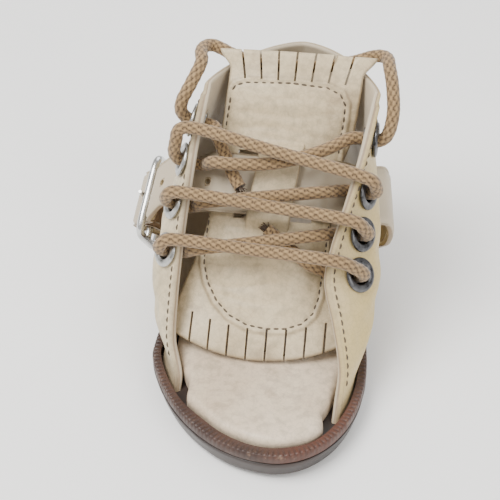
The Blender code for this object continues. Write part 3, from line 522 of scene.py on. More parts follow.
def welt_look():
    """Brown welt, redder at the inner front, with a rubbed pale rim and scratches, and painted shade in the
    wheel's marks.
    """
    made, tree, shader = shader_of("welt")
    cloud = ramp(tree, noise_of(tree, 90, 5), (0.3, (0.030, 0.014, 0.010)), (0.7, (0.075, 0.036, 0.024)))
    red = blend_color(tree, noise_of(tree, 260, 4), (0.105, 0.034, 0.018), (0.055, 0.020, 0.012))
    color = blend_color(tree, attribute(tree, "red"), cloud, red)
    scratch = ramp(tree, noise_of(tree, 520, 6, 0.7), (0.56, 0.0), (0.70, 0.75))
    share = blend_color(tree, 1.0, scratch, attribute(tree, "rim"), "MULTIPLY")
    color = blend_color(tree, share, color, (0.24, 0.15, 0.10))
    # Painted shade: the wheel's notches darken to near black by their depth.
    dark = attribute(tree, "mark")
    color = blend_color(tree, dark, color, (0.022, 0.012, 0.010))
    tree.links.new(color, shader.inputs["Base Color"])
    tree.links.new(ramp(tree, noise_of(tree, 300, 4), (0.3, 0.36), (0.7, 0.62)), shader.inputs["Roughness"])
    bump(tree, shader, (noise_of(tree, 700, 4), 0.35, 0.0002))
    return made


def lace_look():
    """Round braid: painted shade darkens it between its strands."""
    made, tree, shader = shader_of("lace")
    tan = blend_color(tree, noise_of(tree, 160, 4), (0.24, 0.145, 0.060), (0.38, 0.255, 0.125))
    # Painted shade: near black between the raised strands, tan on their tops.
    strand_shade = ramp(tree, attribute(tree, "strand_shade"), (0.30, 0.0), (0.85, 1.0))
    color = blend_color(tree, strand_shade, (0.055, 0.030, 0.013), tan)
    tree.links.new(color, shader.inputs["Base Color"])
    shader.inputs["Roughness"].default_value = 0.85
    shader.inputs["Sheen Weight"].default_value = 0.25
    bump(tree, shader, (noise_of(tree, 2600, 2), 0.5, 0.00015))
    return made


FINE = 0.00008  # relief of polished metal, m

CREAM = leather("cream_leather", (0.64, 0.53, 0.345), (0.50, 0.40, 0.235), yellow=(0.56, 0.42, 0.16))
TONGUE_LOOK = leather("tongue_leather", (0.62, 0.51, 0.33), (0.50, 0.395, 0.235), dirty=0.42)
STRAP_LOOK = leather("strap_leather", (0.60, 0.49, 0.31), (0.47, 0.37, 0.215), dirty=0.45)
# The chape's leather: a darker copy of the strap's, with a dark brown lining; partly the flesh side's own
# brown, partly painted shade for the shadow it lies in between the buckle and the wall.
CHAPE_SHADED_LOOK = leather(
    "chape_leather_shaded", (0.50, 0.42, 0.30), (0.36, 0.28, 0.18), lining=(0.24, 0.15, 0.085), dirty=0.5
)
INSOLE_LOOK = leather("insole_leather", (0.68, 0.56, 0.42), (0.56, 0.44, 0.31), dirty=0.35, layered=False)
SOLE_LOOK = plain(
    "sole_edge",
    (0.012, 0.007, 0.006),
    (0.032, 0.018, 0.014),
    (0.32, 0.55),
    scale=60.0,
    coat=0.12,
    stretch=(1, 1, 9),
)
WELT_LOOK = welt_look()
LACE_LOOK = lace_look()
CHROME = plain(
    "chrome", (0.50, 0.50, 0.49), (0.74, 0.74, 0.73), (0.12, 0.34), metal=1.0, scale=300.0, lift=FINE
)
SILVER = plain(
    "eyelet_silver", (0.30, 0.30, 0.29), (0.55, 0.55, 0.53), (0.2, 0.45), metal=1.0, scale=500.0, lift=FINE
)
GUNMETAL = plain(
    "eyelet_dark", (0.055, 0.055, 0.06), (0.16, 0.16, 0.165), (0.2, 0.42), metal=1.0, scale=500.0, lift=FINE
)
THREAD = plain("thread", (0.05, 0.038, 0.028), (0.13, 0.10, 0.07), (0.7, 0.9), scale=1500.0)
PALE_THREAD = plain("pale_thread", (0.24, 0.19, 0.13), (0.42, 0.34, 0.24), (0.7, 0.9), scale=1500.0)


# Sole
def arc(inset, height, radius, start, end, steps):
    """Rings round a rounded edge."""
    out = []
    for i in range(steps + 1):
        turn = math.radians(mix(start, end, i / steps))
        out.append((inset + radius * (1 - math.cos(turn)), height + radius * math.sin(turn)))
    return out


SOLE_WAVE = 0.12 * MM


def make_outsole():
    lip = 0.7 * MM
    profile = arc(EDGE_SLANT, lip, lip, -90, 0, 4)
    for s in (0.15, 0.3, 0.45, 0.6, 0.75, 0.9):
        profile.append((EDGE_SLANT * (1 - s), mix(lip, OUTSOLE_THICK - lip, s)))
    profile += arc(0, OUTSOLE_THICK - lip * 0.5, lip * 0.5, 0, 90, 4)
    rings = []
    for inset, height in profile:
        ring = plate_ring(inset, height)
        for v in ring:
            v.x, v.y = v.x + SOLE_WAVE * noise.noise(v * 160), v.y + SOLE_WAVE * noise.noise(v * 150)
        rings.append(ring)
    faces = cross_faces(len(rings[0]))
    shown(join_rings("boot_outsole", rings, SOLE_LOOK, faces, faces), "sole", "outsole")


MARK_STEPS = 6.0  # points of the welt's outline to each mark of the wheel
MARK_DEPTH = 0.26 * MM


def make_welt():
    low = OUTSOLE_THICK + GAP
    count = WELT_POINTS
    outer = resample(outline(0), count, closed=True)
    coarse = outline(welt_width)
    inner = matched(outer[::4], coarse)
    inner = [inner[i // 4].lerp(inner[(i // 4 + 1) % len(inner)], i % 4 / 4) for i in range(count)]
    # rows of share inwards, share of the height, rub of the rim and depth of the marks
    profile = (
        (0.05, 0.0, 0.3, 0.0),
        (0.01, 0.18, 0.6, 0.3),
        (0.0, 0.5, 0.8, 0.6),
        (0.02, 0.72, 1.0, 1.0),
        (0.07, 0.88, 1.0, 1.0),
        (0.15, 0.98, 0.9, 1.0),
        (0.26, 1.0, 0.55, 1.0),
        (0.42, 1.0, 0.3, 1.0),
        (0.58, 0.99, 0.12, 0.85),
        (0.72, 0.97, 0.05, 0.3),
        (0.86, 0.96, 0.0, 0.0),
        (1.0, 0.95, 0.0, 0.0),
        (1.0, 0.0, 0.0, 0.0),
    )
    verts, rims, mark_shades, reds = [], [], [], []
    for share, rise, rim, deep in profile:
        for i, (a, b) in enumerate(zip(outer, inner)):
            place = a.lerp(b, share)
            beat = 0.5 + 0.5 * math.cos(2 * math.pi * i / MARK_STEPS)
            notch = beat**2 * deep
            wander = 0.12 * MM * noise.noise(Vector((place.x, place.y, 0)) * 140)
            z = low + WELT_THICK * rise - MARK_DEPTH * notch * (rise > 0.6) + wander * (rise > 0.6)
            pull = a.lerp(b, min(1.0, share + 0.035 * notch))
            verts.append(Vector((pull.x, pull.y, z + spring(place.y))))
            rims.append(rim)
            # Painted shade in each notch by its depth, weaker on the rubbed rim.
            mark_shades.append(0.55 * notch * (0.6 if rim > 0.9 else 1.0))
            reds.append(smooth(4 * MM, 16 * MM, place.x) * (1 - smooth(-44 * MM, -24 * MM, place.y)))
    faces = ring_faces(len(profile), count, closed=True)
    obj = new_object("boot_welt", verts, faces, WELT_LOOK, rim=rims, mark=mark_shades, red=reds)
    shown(obj, "welt", "welt")


def make_insole():
    low = OUTSOLE_THICK + GAP
    top = low + INSOLE_THICK
    rings = [plate_ring(insole_inset, low)]
    steps = []
    for angle in range(0, 91, 10):
        turn = math.radians(angle)
        steps.append((INSOLE_ROUND * (1 - math.cos(turn)), top - INSOLE_ROUND * (1 - math.sin(turn))))
    for extra, rise in ((1.0, 0.12), (2.5, 0.25), (5.0, 0.3), (9.0, 0.2)):
        steps.append((INSOLE_ROUND + extra * MM, top + rise * MM))
    for extra, height in steps:
        ring = plate_ring(lambda p, more=extra: insole_inset(p) + more, height)
        rings.append([Vector((v.x, v.y, v.z + 0.18 * MM * noise.noise(v * 120))) for v in ring])
    faces = cross_faces(len(rings[0]))
    shown(join_rings("boot_insole", rings, INSOLE_LOOK, faces, faces), "insole", "insole")


# Upper
def cut_front(points, foot):
    """The part of a side's line that lies behind y = foot."""
    for i, (a, b) in enumerate(zip(points, points[1:])):
        if a.y <= foot < b.y:
            return [a.lerp(b, (foot - a.y) / (b.y - a.y))] + points[i + 1 :]
    return points


PLAN_COUNT = 61


def base_plan(side):
    ring = outline(lambda point: welt_width(point) + 1.3 * GAP)
    half = len(ring) // 2
    line = ring[: half + 1] if side > 0 else [ring[0]] + ring[-1 : half - 1 : -1]
    return resample(cut_front(line, front_foot(side)), PLAN_COUNT)


def collar_plan(side):
    points = []
    for i in range(PLAN_COUNT):
        along = math.sin(math.radians(90) * i / (PLAN_COUNT - 1))
        out = max(0.0, 1 - along**COLLAR_FULLNESS) ** COLLAR_ROUNDNESS
        points.append(
            Vector((COLLAR_SIDE + side * COLLAR_WIDTH / 2 * out, mix(EYESTAY_BACK, COLLAR_END, along)))
        )
    return resample(points, PLAN_COUNT)


BASE = {side: base_plan(side) for side in (-1, 1)}
COLLAR = {side: collar_plan(side) for side in (-1, 1)}


def plan_at(plan, share):
    place = min(1.0, max(0.0, share)) * (PLAN_COUNT - 1)
    i = min(PLAN_COUNT - 2, int(place))
    return plan[i].lerp(plan[i + 1], place - i)


def wall_heights(side, share):
    low = OUTSOLE_THICK + GAP + spring(plan_at(BASE[side], share).y)
    back = plan_at(COLLAR[side], share).y
    rise = (COLLAR_END - back) / (COLLAR_END - EYESTAY_BACK)
    return low, mix(COLLAR_BACK, EYESTAY_TOP, rise)


def wall_outer(side, share, height):
    """A point of the upper's outer face: share runs from a front edge to the heel, height from 0 to 1."""
    base = plan_at(BASE[side], share)
    collar = plan_at(COLLAR[side], share)
    place = base.lerp(collar, height)
    step = 0.02
    ahead = plan_at(BASE[side], share + step).lerp(plan_at(COLLAR[side], share + step), height)
    behind = plan_at(BASE[side], share - step).lerp(plan_at(COLLAR[side], share - step), height)
    along = ahead - behind
    outward = Vector((along.y, -along.x)).normalized() * side
    if share > 1 - step:
        outward = outward.lerp(Vector((0.0, 1.0)), (share - 1 + step) / step).normalized()
    word = "right" if side > 0 else "left"
    bulge = BULGE * table_value(SHAPE_ROWS, SHAPE_COLUMNS, "bulge_" + word, height)
    bulge = mix(bulge, BULGE * table_value(SHAPE_ROWS, SHAPE_COLUMNS, "bulge_right", height) * 0.5, share**3)
    curl = EDGE_CURL * table_value(SHAPE_ROWS, SHAPE_COLUMNS, "curl_" + word, height)
    length = mix((BASE[side][0] - BASE[side][1]).length, (COLLAR[side][0] - COLLAR[side][1]).length, height)
    reach = min(1.0, share * length * (PLAN_COUNT - 1) / CURL_LENGTH)
    ease = 1 - (1 - reach) ** 1.25
    place = place + outward * bulge * ease - Vector((side * curl * (1 - ease), 0.0))
    low, high = wall_heights(side, share)
    return Vector((place.x, place.y, mix(low, high, height)))


def wall_normal(side, share, height):
    step = 0.015
    a = wall_outer(side, min(1.0, share + step), height) - wall_outer(side, max(0.0, share - step), height)
    b = wall_outer(side, share, min(1.0, height + step)) - wall_outer(side, share, max(0.0, height - step))
    if share > 0.985:
        a = Vector((-side, 0.0, 0.0))
    return a.cross(b).normalized() * side


def wall_point(side, share, height, depth):
    return wall_outer(side, share, height) - wall_normal(side, share, height) * depth


def wall_at(side, y, z):
    """Share and height of the outer face's point at this y and z."""
    share, height = 0.3, 0.5
    for _ in range(12):
        low, high = wall_heights(side, share)
        height = min(1.0, max(0.0, (z - low) / (high - low)))
        near, far = 0.0, 1.0
        for _ in range(24):
            share = (near + far) / 2
            if wall_outer(side, share, height).y < y:
                near = share
            else:
                far = share
    return share, height


def collar_seam(share):
    """Height share of the seam that the collar piece ends at."""
    depth = mix(2.5 * MM, COLLAR_PIECE, smooth(0.05, 0.9, share))
    return 1 - depth / (COLLAR_BACK - OUTSOLE_THICK)

# The throat's line, and the frame along it
THROAT_TOP = Vector((0.0, EYESTAY_BACK, EYESTAY_TOP))
THROAT_FOOT = Vector((0.0, (front_foot(1) + front_foot(-1)) / 2, WELT_TOP))
THROAT_LENGTH = (THROAT_TOP - THROAT_FOOT).length
UP_THROAT = (THROAT_TOP - THROAT_FOOT).normalized()
INTO_SHOE = UP_THROAT.cross(Vector((1.0, 0.0, 0.0)))


def instep(x, along, depth):
    """A place by x, by distance down the throat from its top, and by depth under the throat's line."""
    return THROAT_TOP - UP_THROAT * along + INTO_SHOE * depth + Vector((x, 0.0, 0.0))


EYELET_WALL = 0.5 * MM


def eyelet_frame(side, row):
    column = "right" if side > 0 else "left"
    along = EYELET_ROWS[row][EYELET_COLUMNS.index(column)] * THROAT_LENGTH
    target = instep(0, along, EYELET_INSET * 0.78)
    share, height = wall_at(side, target.y, target.z)
    normal = wall_normal(side, share, height)
    return wall_outer(side, share, height), normal, (share, height)


def slot_frame(side):
    """Middle of a slot in the wall, the strap's way outwards through it and the slot's long direction."""
    places = []
    for off in (-0.5, 0, 0.5):
        target = instep(0, SLOT_PLACE * THROAT_LENGTH + off * STRAP_WIDTH, SLOT_INSET)
        share, height = wall_at(side, target.y, target.z)
        places.append(wall_point(side, share, height, WALL / 2))
    long = (places[0] - places[2]).normalized()
    outward = Vector((side * 0.72, 0.0, 0.0)) + INTO_SHOE * 0.7
    outward = (outward - long * outward.dot(long)).normalized()
    return (places[0] + places[2]) / 2, outward, long


def oriented(x_axis, y_axis, place):
    z_axis = x_axis.cross(y_axis).normalized()
    y_axis = z_axis.cross(x_axis).normalized()
    frame = Matrix((x_axis.normalized(), y_axis, z_axis)).transposed().to_4x4()
    frame.translation = place
    return frame


def hidden(obj):
    obj.hide_render = True
    obj.display_type = "WIRE"
    return obj


def box_cutter(frame, size):
    """A box of this size about the middle of a frame."""
    corners = [
        frame @ Vector((sx * size[0] / 2, sy * size[1] / 2, sz * size[2] / 2))
        for sz in (-1, 1)
        for sx, sy in ((-1, -1), (1, -1), (1, 1), (-1, 1))
    ]
    faces = [(0, 3, 2, 1), (4, 5, 6, 7), (0, 1, 5, 4), (1, 2, 6, 5), (2, 3, 7, 6), (3, 0, 4, 7)]
    return hidden(new_object("cutter", corners, faces, None))


def slot_cutter(side):
    place, outward, long = slot_frame(side)
    frame = oriented(outward, long, place)
    return box_cutter(frame, (9 * MM, STRAP_WIDTH + SLOT_EXTRA, SLOT_WIDTH))


def ring_points(place, axis, radius, count, start=0.0):
    side = axis.orthogonal().normalized()
    up = axis.cross(side).normalized()
    out = []
    for i in range(count):
        turn = start + 2 * math.pi * i / count
        out.append(place + side * radius * math.cos(turn) + up * radius * math.sin(turn))
    return out


def tube_cutter(place, axis, radius, length):
    count = 20
    rings = [ring_points(place + axis * length * s, axis, radius, count) for s in (-0.5, 0.5)]
    cap = [tuple(range(count))]
    return hidden(join_rings("cutter", rings, None, cap, cap))


def window_cutter():
    """A D-shaped prism along Y: flat above, round below."""
    count = 72
    middle = mix(WINDOW_FOOT, WINDOW_TOP, 0.55)
    shape = []
    for i in range(count):
        turn = 2 * math.pi * i / count
        across, up = math.cos(turn), math.sin(turn)
        power = 0.45 if up > 0 else 1.0
        reach = (WINDOW_TOP - middle) if up > 0 else (middle - WINDOW_FOOT)
        wide = abs(across) ** (0.75 if up > 0 else 1.0)
        rise = abs(up) ** power
        shape.append((math.copysign(wide, across) * WINDOW_WIDTH / 2, math.copysign(rise, up) * reach))
    rings = [
        [Vector((WINDOW_SIDE + x, y, middle + z)) for x, z in shape]
        for y in (HEEL_Y - 16 * MM, HEEL_Y + 6 * MM)
    ]
    cap = [tuple(range(count))]
    return hidden(join_rings("cutter", rings, None, cap, cap))


def cut(obj, cutter, operation="DIFFERENCE"):
    change = obj.modifiers.new("cut", "BOOLEAN")
    change.operation = operation
    change.solver = "EXACT"
    change.object = cutter
    return change


def settle(obj):
    """Keeps the cut shape as the piece's own mesh, and drops the cutters."""
    cutters = [m.object for m in obj.modifiers if m.type == "BOOLEAN"]
    dg = bpy.context.evaluated_depsgraph_get()
    mesh = bpy.data.meshes.new_from_object(obj.evaluated_get(dg), preserve_all_data_layers=True, depsgraph=dg)
    obj.modifiers.clear()
    obj.data = mesh
    mesh.shade_smooth()
    mesh.set_sharp_from_angle(angle=math.radians(50))
    for cutter in cutters:
        bpy.data.objects.remove(cutter)


def eased(distance, radius):
    """How far a rounded edge sinks at this distance from it."""
    if distance >= radius:
        return 0.0
    return radius - math.sqrt(max(0.0, radius**2 - (radius - distance) ** 2))


# Creases of the walls: side, start and end as shares of the way back and of the height, half width
# and depth in mm
CREASES = (
    (-1, 0.10, 0.20, 0.34, 0.26, 2.0, 0.45),
    (-1, 0.16, 0.40, 0.42, 0.33, 2.4, 0.5),
    (-1, 0.30, 0.55, 0.62, 0.50, 2.2, 0.45),
    (-1, 0.55, 0.72, 0.92, 0.66, 1.6, 0.4),
    (-1, 0.50, 0.86, 0.90, 0.80, 1.3, 0.3),
    (-1, 0.66, 0.30, 0.90, 0.44, 2.6, 0.5),
    (1, 0.08, 0.22, 0.30, 0.30, 2.0, 0.4),
    (1, 0.20, 0.42, 0.44, 0.36, 2.2, 0.45),
    (1, 0.34, 0.58, 0.60, 0.50, 2.0, 0.4),
    (1, 0.56, 0.70, 0.92, 0.64, 1.6, 0.4),
    (1, 0.52, 0.85, 0.92, 0.79, 1.2, 0.3),
    (1, 0.68, 0.28, 0.92, 0.42, 2.4, 0.45),
)


WALL_RUN = 105.0  # of a wall from its front edge to the heel, mm
WALL_RISE = 62.0  # mm
EDGE_RUN = 83.5 * MM  # mean run, for the rounding of the front edge
EDGE_ROUND = 0.75 * MM
WALL_WAVE = 0.22 * MM  # unevenness of the walls


def crease_depth(side, share, height):
    at = Vector((share * WALL_RUN, height * WALL_RISE))
    total = 0.0
    for on, s0, h0, s1, h1, half, depth in CREASES:
        if on != side:
            continue
        a = Vector((s0 * WALL_RUN, h0 * WALL_RISE))
        b = Vector((s1 * WALL_RUN, h1 * WALL_RISE))
        along = min(1.0, max(0.0, (at - a).dot(b - a) / (b - a).length_squared))
        away = (a.lerp(b, along) - at).length / half
        total += depth * (math.exp(-away * away) - 0.45 * math.exp(-((away - 2.0) ** 2)))
    return total * MM


def softness(side, share, height, place):
    """How far creases and unevenness sink the wall, which stays true at its borders."""
    calm = smooth(0, 0.1, share) * smooth(0.08, 0.2, height) * (1 - smooth(0.9, 1.0, height))
    return (crease_depth(side, share, height) + WALL_WAVE * noise.noise(place * 75)) * calm


def make_upper():
    shares = [0, 0.001, 0.0025, 0.0045, 0.007, 0.011] + [mix(0.016, 1, i / 116) for i in range(117)]
    columns = [(1, s) for s in shares] + [(-1, s) for s in shares[-2::-1]]
    outer, inner, dirt = [], [], []
    for side, share in columns:
        seam = collar_seam(share)
        rows = [(mix(0, seam - 0.005, i / 52), 0.0) for i in range(53)]
        rows += [(seam - 0.001, COLLAR_STEP * 0.5), (seam + 0.003, COLLAR_STEP)]
        rows += [(mix(seam + 0.008, 0.985, i / 12), COLLAR_STEP) for i in range(13)]
        rows += [(h, COLLAR_STEP) for h in (0.99, 0.994, 0.997, 0.999, 1.0)]
        line, under, soil = [], [], []
        for h, step in rows:
            place, normal = wall_outer(side, share, h), wall_normal(side, share, h)
            sink = eased(min(share * EDGE_RUN, (1 - h) * WALL_RISE * MM), EDGE_ROUND)
            soft = softness(side, share, h, place)
            line.append(place - normal * (step + sink + soft))
            under.append(place - normal * (WALL - sink * 0.8 + soft * 0.6))
            low = 1 - smooth(0.0, 0.1, h)
            at_seam = 0.28 * (1 - smooth(0, 0.0035, abs(h - seam)))
            soil.append(min(0.8, 0.62 * low + at_seam + 0.25 * (sink > 0)))
        under[-1].z = line[-1].z
        outer.append(line)
        inner.append(under)
        dirt += soil
    shell = sheet("boot_upper", outer, inner, CREAM, dirt=dirt + [0.15] * len(dirt))
    for side in (-1, 1):
        for eyelet in range(len(EYELET_ROWS)):
            place, axis, _ = eyelet_frame(side, eyelet)
            cut(shell, tube_cutter(place, axis, EYELET_HOLE / 2 + EYELET_WALL + 0.2 * GAP, 6 * WALL))
        cut(shell, slot_cutter(side))
    cut(shell, window_cutter())
    settle(shell)
    shown(shell, "upper", "upper")


def turned(name, place, axis, profile, count, look):
    """A ring turned about an axis from a closed profile of (radius, height) rows."""
    rings = [ring_points(place + axis * height, axis, radius, count) for radius, height in profile]
    verts = [v for ring in rings for v in ring]
    return new_object(name, verts, ring_faces(len(profile), count, closed=True), look)


def make_eyelets():
    hole = EYELET_HOLE / 2
    barrel = hole + EYELET_WALL
    rim = EYELET_OUTER / 2
    seat = 2.0 * GAP
    profile = [(hole, -WALL - GAP), (hole, 0.2 * seat)]
    profile += [
        (mix(hole, rim, 0.5 - 0.5 * math.cos(math.pi * s)), seat + EYELET_RIM * math.sin(math.pi * s) ** 0.8)
        for s in (0.06, 0.14, 0.24, 0.36, 0.5, 0.64, 0.76, 0.86, 0.94, 0.98)
    ]
    profile += [(rim, seat * 0.9), (rim - 0.2 * MM, seat * 0.5), (barrel, seat * 0.4), (barrel, -WALL - GAP)]
    for side, word, look in ((-1, "left", SILVER), (1, "right", GUNMETAL)):
        for row in range(len(EYELET_ROWS)):
            place, axis, _ = eyelet_frame(side, row)
            name = f"eyelet_{word}_{row + 1}"
            shown(turned("boot_" + name, place, axis, profile, 48, look), "eyelet_" + word, name)


# Tongue
TONGUE_DEPTH = 8.2 * MM  # under the throat's line, at its middle
TONGUE_DROP = 4.0 * MM  # how much deeper its edges lie
TONGUE_ABOVE = 10.5 * MM  # how far it stands above the throat's top
TOP_STRIPS = 8
BOTTOM_STRIPS = 9
BOTTOM_ROUND = 6 * MM


def tongue_middle(along):
    """The tongue leans to the inner side with the ankle."""
    return mix(COLLAR_SIDE + 0.5 * MM, 0.0, smooth(-TONGUE_ABOVE, 45 * MM, along))


def tongue_depth(across, along):
    flat = smooth(52 * MM, TONGUE_TOP - TONGUE_ABOVE, along)
    drop = TONGUE_DROP * (1 - 0.55 * flat - 0.65 * (1 - smooth(0, 16 * MM, along)))
    rise = 2.0 * MM * flat + 2.4 * MM * (1 - smooth(-4 * MM, 14 * MM, along))
    return TONGUE_DEPTH - rise + drop * across * across


def tongue_half(along):
    """Half width: full at the lower end, narrower inside the collar and at the strap."""
    above = 1 - smooth(-TONGUE_ABOVE, -5 * MM, along)
    below = smooth(40 * MM, 64 * MM, along)
    nip = 1.2 * MM * smooth(10 * MM, 18 * MM, along) * (1 - smooth(36 * MM, 46 * MM, along))
    return TONGUE_WIDTH / 2 - 5.5 * MM + 3.3 * MM * above + 5.5 * MM * below - nip


def tongue_point(across, down, depth):
    """across runs from -1 to 1, down from 0 at the top to 1 at the lower edge."""
    return instep(*tongue_place(across, down, depth))


def slit_cutter(across, start, end):
    a = tongue_point(across, start, TONGUE_THICK / 2)
    b = tongue_point(across, end, TONGUE_THICK / 2)
    frame = oriented((b - a).normalized(), Vector((1.0, 0.0, 0.0)), (a + b) / 2)
    return box_cutter(frame, ((b - a).length, FRINGE_SLIT, 4 * TONGUE_THICK))


BRIDGE_LIFT = 2.3 * MM


# The smooth panel on the tongue: across and down the throat, in mm
PANEL = (
    (-13.9, 0.5),
    (-12.4, -1.8),
    (-9.0, -2.9),
    (4.0, -3.4),
    (14.0, -2.8),
    (18.4, -1.0),
    (20.3, 2.4),
    (20.2, 7.0),
    (19.6, 12.0),
    (18.6, 30.0),
    (17.8, 48.0),
    (17.2, 56.0),
    (15.8, 61.0),
    (12.6, 64.4),
    (8.0, 66.2),
    (2.4, 66.7),
    (-3.4, 66.0),
    (-8.8, 63.6),
    (-13.2, 59.6),
    (-16.4, 54.4),
    (-18.0, 49.0),
    (-18.3, 43.0),
    (-17.2, 28.0),
    (-14.8, 8.0),
)


def panel_distance(x, along):
    """How far inside the panel's outline a place is, in metres, and negative outside it."""
    at = Vector((x, along)) / MM
    corners = [Vector(c) for c in PANEL]
    near = 1e9
    inside = False
    for a, b in zip(corners, corners[1:] + corners[:1]):
        share = min(1.0, max(0.0, (at - a).dot(b - a) / (b - a).length_squared))
        near = min(near, (a.lerp(b, share) - at).length)
        if (a.y > at.y) != (b.y > at.y) and at.x < a.x + (b.x - a.x) * (at.y - a.y) / (b.y - a.y):
            inside = not inside
    return (near if inside else -near) * MM


# Fine creases across the panel: place down the throat, slope, depth in mm
FOLDS = (
    (2.5, 0.04, 0.16),
    (6.8, -0.05, 0.2),
    (11.0, 0.06, 0.18),
    (39.0, 0.05, 0.22),
    (43.5, -0.06, 0.25),
    (48.0, 0.04, 0.3),
    (53.5, -0.05, 0.22),
    (58.0, 0.03, 0.2),
)


def panel_lift(x, along):
    gap = panel_distance(x, along)
    from_strap = abs(along - SLOT_PLACE * THROAT_LENGTH)
    strap = 1 - 0.75 * smooth(7 * MM, 13 * MM, 18.5 * MM - from_strap)
    lift = 0.5 * MM * smooth(-0.15 * MM, 0.3 * MM, gap) + 0.45 * MM * smooth(2.0 * MM, 7 * MM, gap)
    lift -= 0.3 * MM * math.exp(-(((gap - 1.5 * MM) / (0.45 * MM)) ** 2))
    for down, slope, depth in FOLDS:
        off = along / MM - down - slope * x / MM - 0.8 * math.sin(x / MM * 0.22 + down)
        lift -= depth * MM * math.exp(-((off / 0.8) ** 2)) * smooth(1.5 * MM, 4 * MM, gap)
    return lift * strap


def tongue_place(across, down, depth):
    along = -TONGUE_ABOVE + TONGUE_TOP * down
    along -= BOTTOM_ROUND * across * across * smooth(0.55, 1.0, down)
    x = tongue_middle(along) + across * tongue_half(along)
    return x, along, tongue_depth(across, along) + depth


def make_tongue():
    wide, high = 110, 150
    outer, inner, dirt = [], [], []
    rand = random.Random(5)
    top_curl = [rand.uniform(-0.5, 0.9) for _ in range(TOP_STRIPS)]
    low_curl = [rand.uniform(-0.6, 1.0) for _ in range(BOTTOM_STRIPS)]
    for i in range(wide):
        across = mix(-1, 1, i / (wide - 1))
        line, under = [], []
        for j in range(high):
            down = j / (high - 1)
            x, along, depth = tongue_place(across, down, 0)
            k_top = min(TOP_STRIPS - 1, int((across + 1) / 2 * TOP_STRIPS))
            k_low = min(BOTTOM_STRIPS - 1, int((across + 1) / 2 * BOTTOM_STRIPS))
            up = 1 - smooth(0, FRINGE_TOP / TONGUE_TOP, down)
            low = smooth(1 - FRINGE_BOTTOM / TONGUE_TOP, 1, down)
            depth -= (0.55 * up * top_curl[k_top] + 0.55 * low * low_curl[k_low]) * MM
            side = (1 - abs(across)) * tongue_half(along)
            end = min(down, 1 - down) * TONGUE_TOP
            sink = eased(min(side, end), 0.5 * MM)
            soft = 0.16 * MM * noise.noise(Vector((x, along, 0)) * 110)
            line.append(instep(x, along, depth + sink - panel_lift(x, along) + soft))
            under.append(instep(x, along, depth + TONGUE_THICK - sink + soft))
            gap = panel_distance(x, along)
            seam = 0.4 * math.exp(-(((gap + 0.1 * MM) / (0.35 * MM)) ** 2))
            worn = low * (0.15 + 0.55 * max(0.0, noise.noise(Vector((x, along, 3 * MM)) * 190)))
            dirt.append(min(0.85, seam + worn + 0.2 * (sink > 0)))
        outer.append(line)
        inner.append(under)
    body = sheet("boot_tongue", outer, inner, TONGUE_LOOK, dirt=dirt + [0.2] * len(dirt))
    low_end = 1 - FRINGE_BOTTOM / TONGUE_TOP
    for strips, start, end in ((TOP_STRIPS, -0.05, FRINGE_TOP / TONGUE_TOP), (BOTTOM_STRIPS, low_end, 1.05)):
        for k in range(1, strips):
            cut(body, slit_cutter(mix(-1, 1, k / strips), start, end))
    along = SLOT_PLACE * THROAT_LENGTH
    middle = instep(tongue_middle(along), along, TONGUE_DEPTH + TONGUE_THICK / 2)
    around = oriented(Vector((1.0, 0.0, 0.0)), UP_THROAT, middle)
    cut(body, box_cutter(around, (BRIDGE_WIDTH + 9.6 * MM, STRAP_WIDTH + 2.4 * MM, 6 * TONGUE_THICK)))
    settle(body)
    shown(body, "tongue", "tongue")
    shown(bridge_strip(along), "tongue")


def bridge_strip(along):
    """The tongue's middle strip, which passes over the strap."""
    reach = STRAP_WIDTH / 2 + 5 * MM
    outer, inner, dirt = [], [], []
    steps = 70
    for i in range(steps + 1):
        off = mix(-reach, reach, i / steps)
        rise = BRIDGE_LIFT * (1 - smooth(STRAP_WIDTH / 2 + 0.6 * MM, reach - 0.6 * MM, abs(off)))
        top, under = [], []
        for j in range(31):
            x = mix(-0.5, 0.5, j / 30) * BRIDGE_WIDTH
            place = along + off
            middle = tongue_middle(place)
            lift = panel_lift(middle + x, place)
            depth = tongue_depth(x / tongue_half(place), place) - rise
            sink = eased(BRIDGE_WIDTH / 2 - abs(x), 0.4 * MM)
            top.append(instep(middle + x, place, depth + 0.02 * MM + sink - lift))
            under.append(instep(middle + x, place, depth + TONGUE_THICK - 0.02 * MM - sink))
            dirt.append(0.25 * (sink > 0))
        outer.append(top)
        inner.append(under)
    return sheet("boot_bridge", outer, inner, TONGUE_LOOK, dirt=dirt + [0.2] * len(dirt))


def smooth_line(points, count):
    """Evenly spaced points on a smooth curve through the given ones."""
    dense = []
    last = len(points) - 1
    for i in range(last):
        before, low, high, after = (points[min(last, max(0, i + n))] for n in (-1, 0, 1, 2))
        for k in range(12):
            s = k / 12
            a = (high - before) * 0.5
            b = (after - low) * 0.5
            dense.append(
                low * (2 * s**3 - 3 * s**2 + 1)
                + a * (s**3 - 2 * s**2 + s)
                + high * (3 * s**2 - 2 * s**3)
                + b * (s**3 - s**2)
            )
    dense.append(points[-1])
    return resample(dense, count)


def across_band(route, widths, place):
    """The width direction of a band near a place on its route."""
    k = min(len(route) - 2, nearest_span(route, place))
    span = (route[k + 1] - route[k]).length
    share = min(1.0, max(0.0, (place - route[k]).dot(route[k + 1] - route[k]) / span**2))
    return widths[k].lerp(widths[k + 1], share).normalized()


def band_section():
    """Points round a band's section, from -1 to 1 both ways: outer face, side, flesh side, side."""
    steps = 12
    points = [(mix(1, -1, i / steps), 1.0) for i in range(steps + 1)]
    points += [(-1.0, mix(1, -1, i / 6)) for i in range(1, 6)]
    points += [(mix(-1, 1, i / steps), -1.0) for i in range(steps + 1)]
    points += [(1.0, mix(-1, 1, i / 6)) for i in range(1, 6)]
    return points


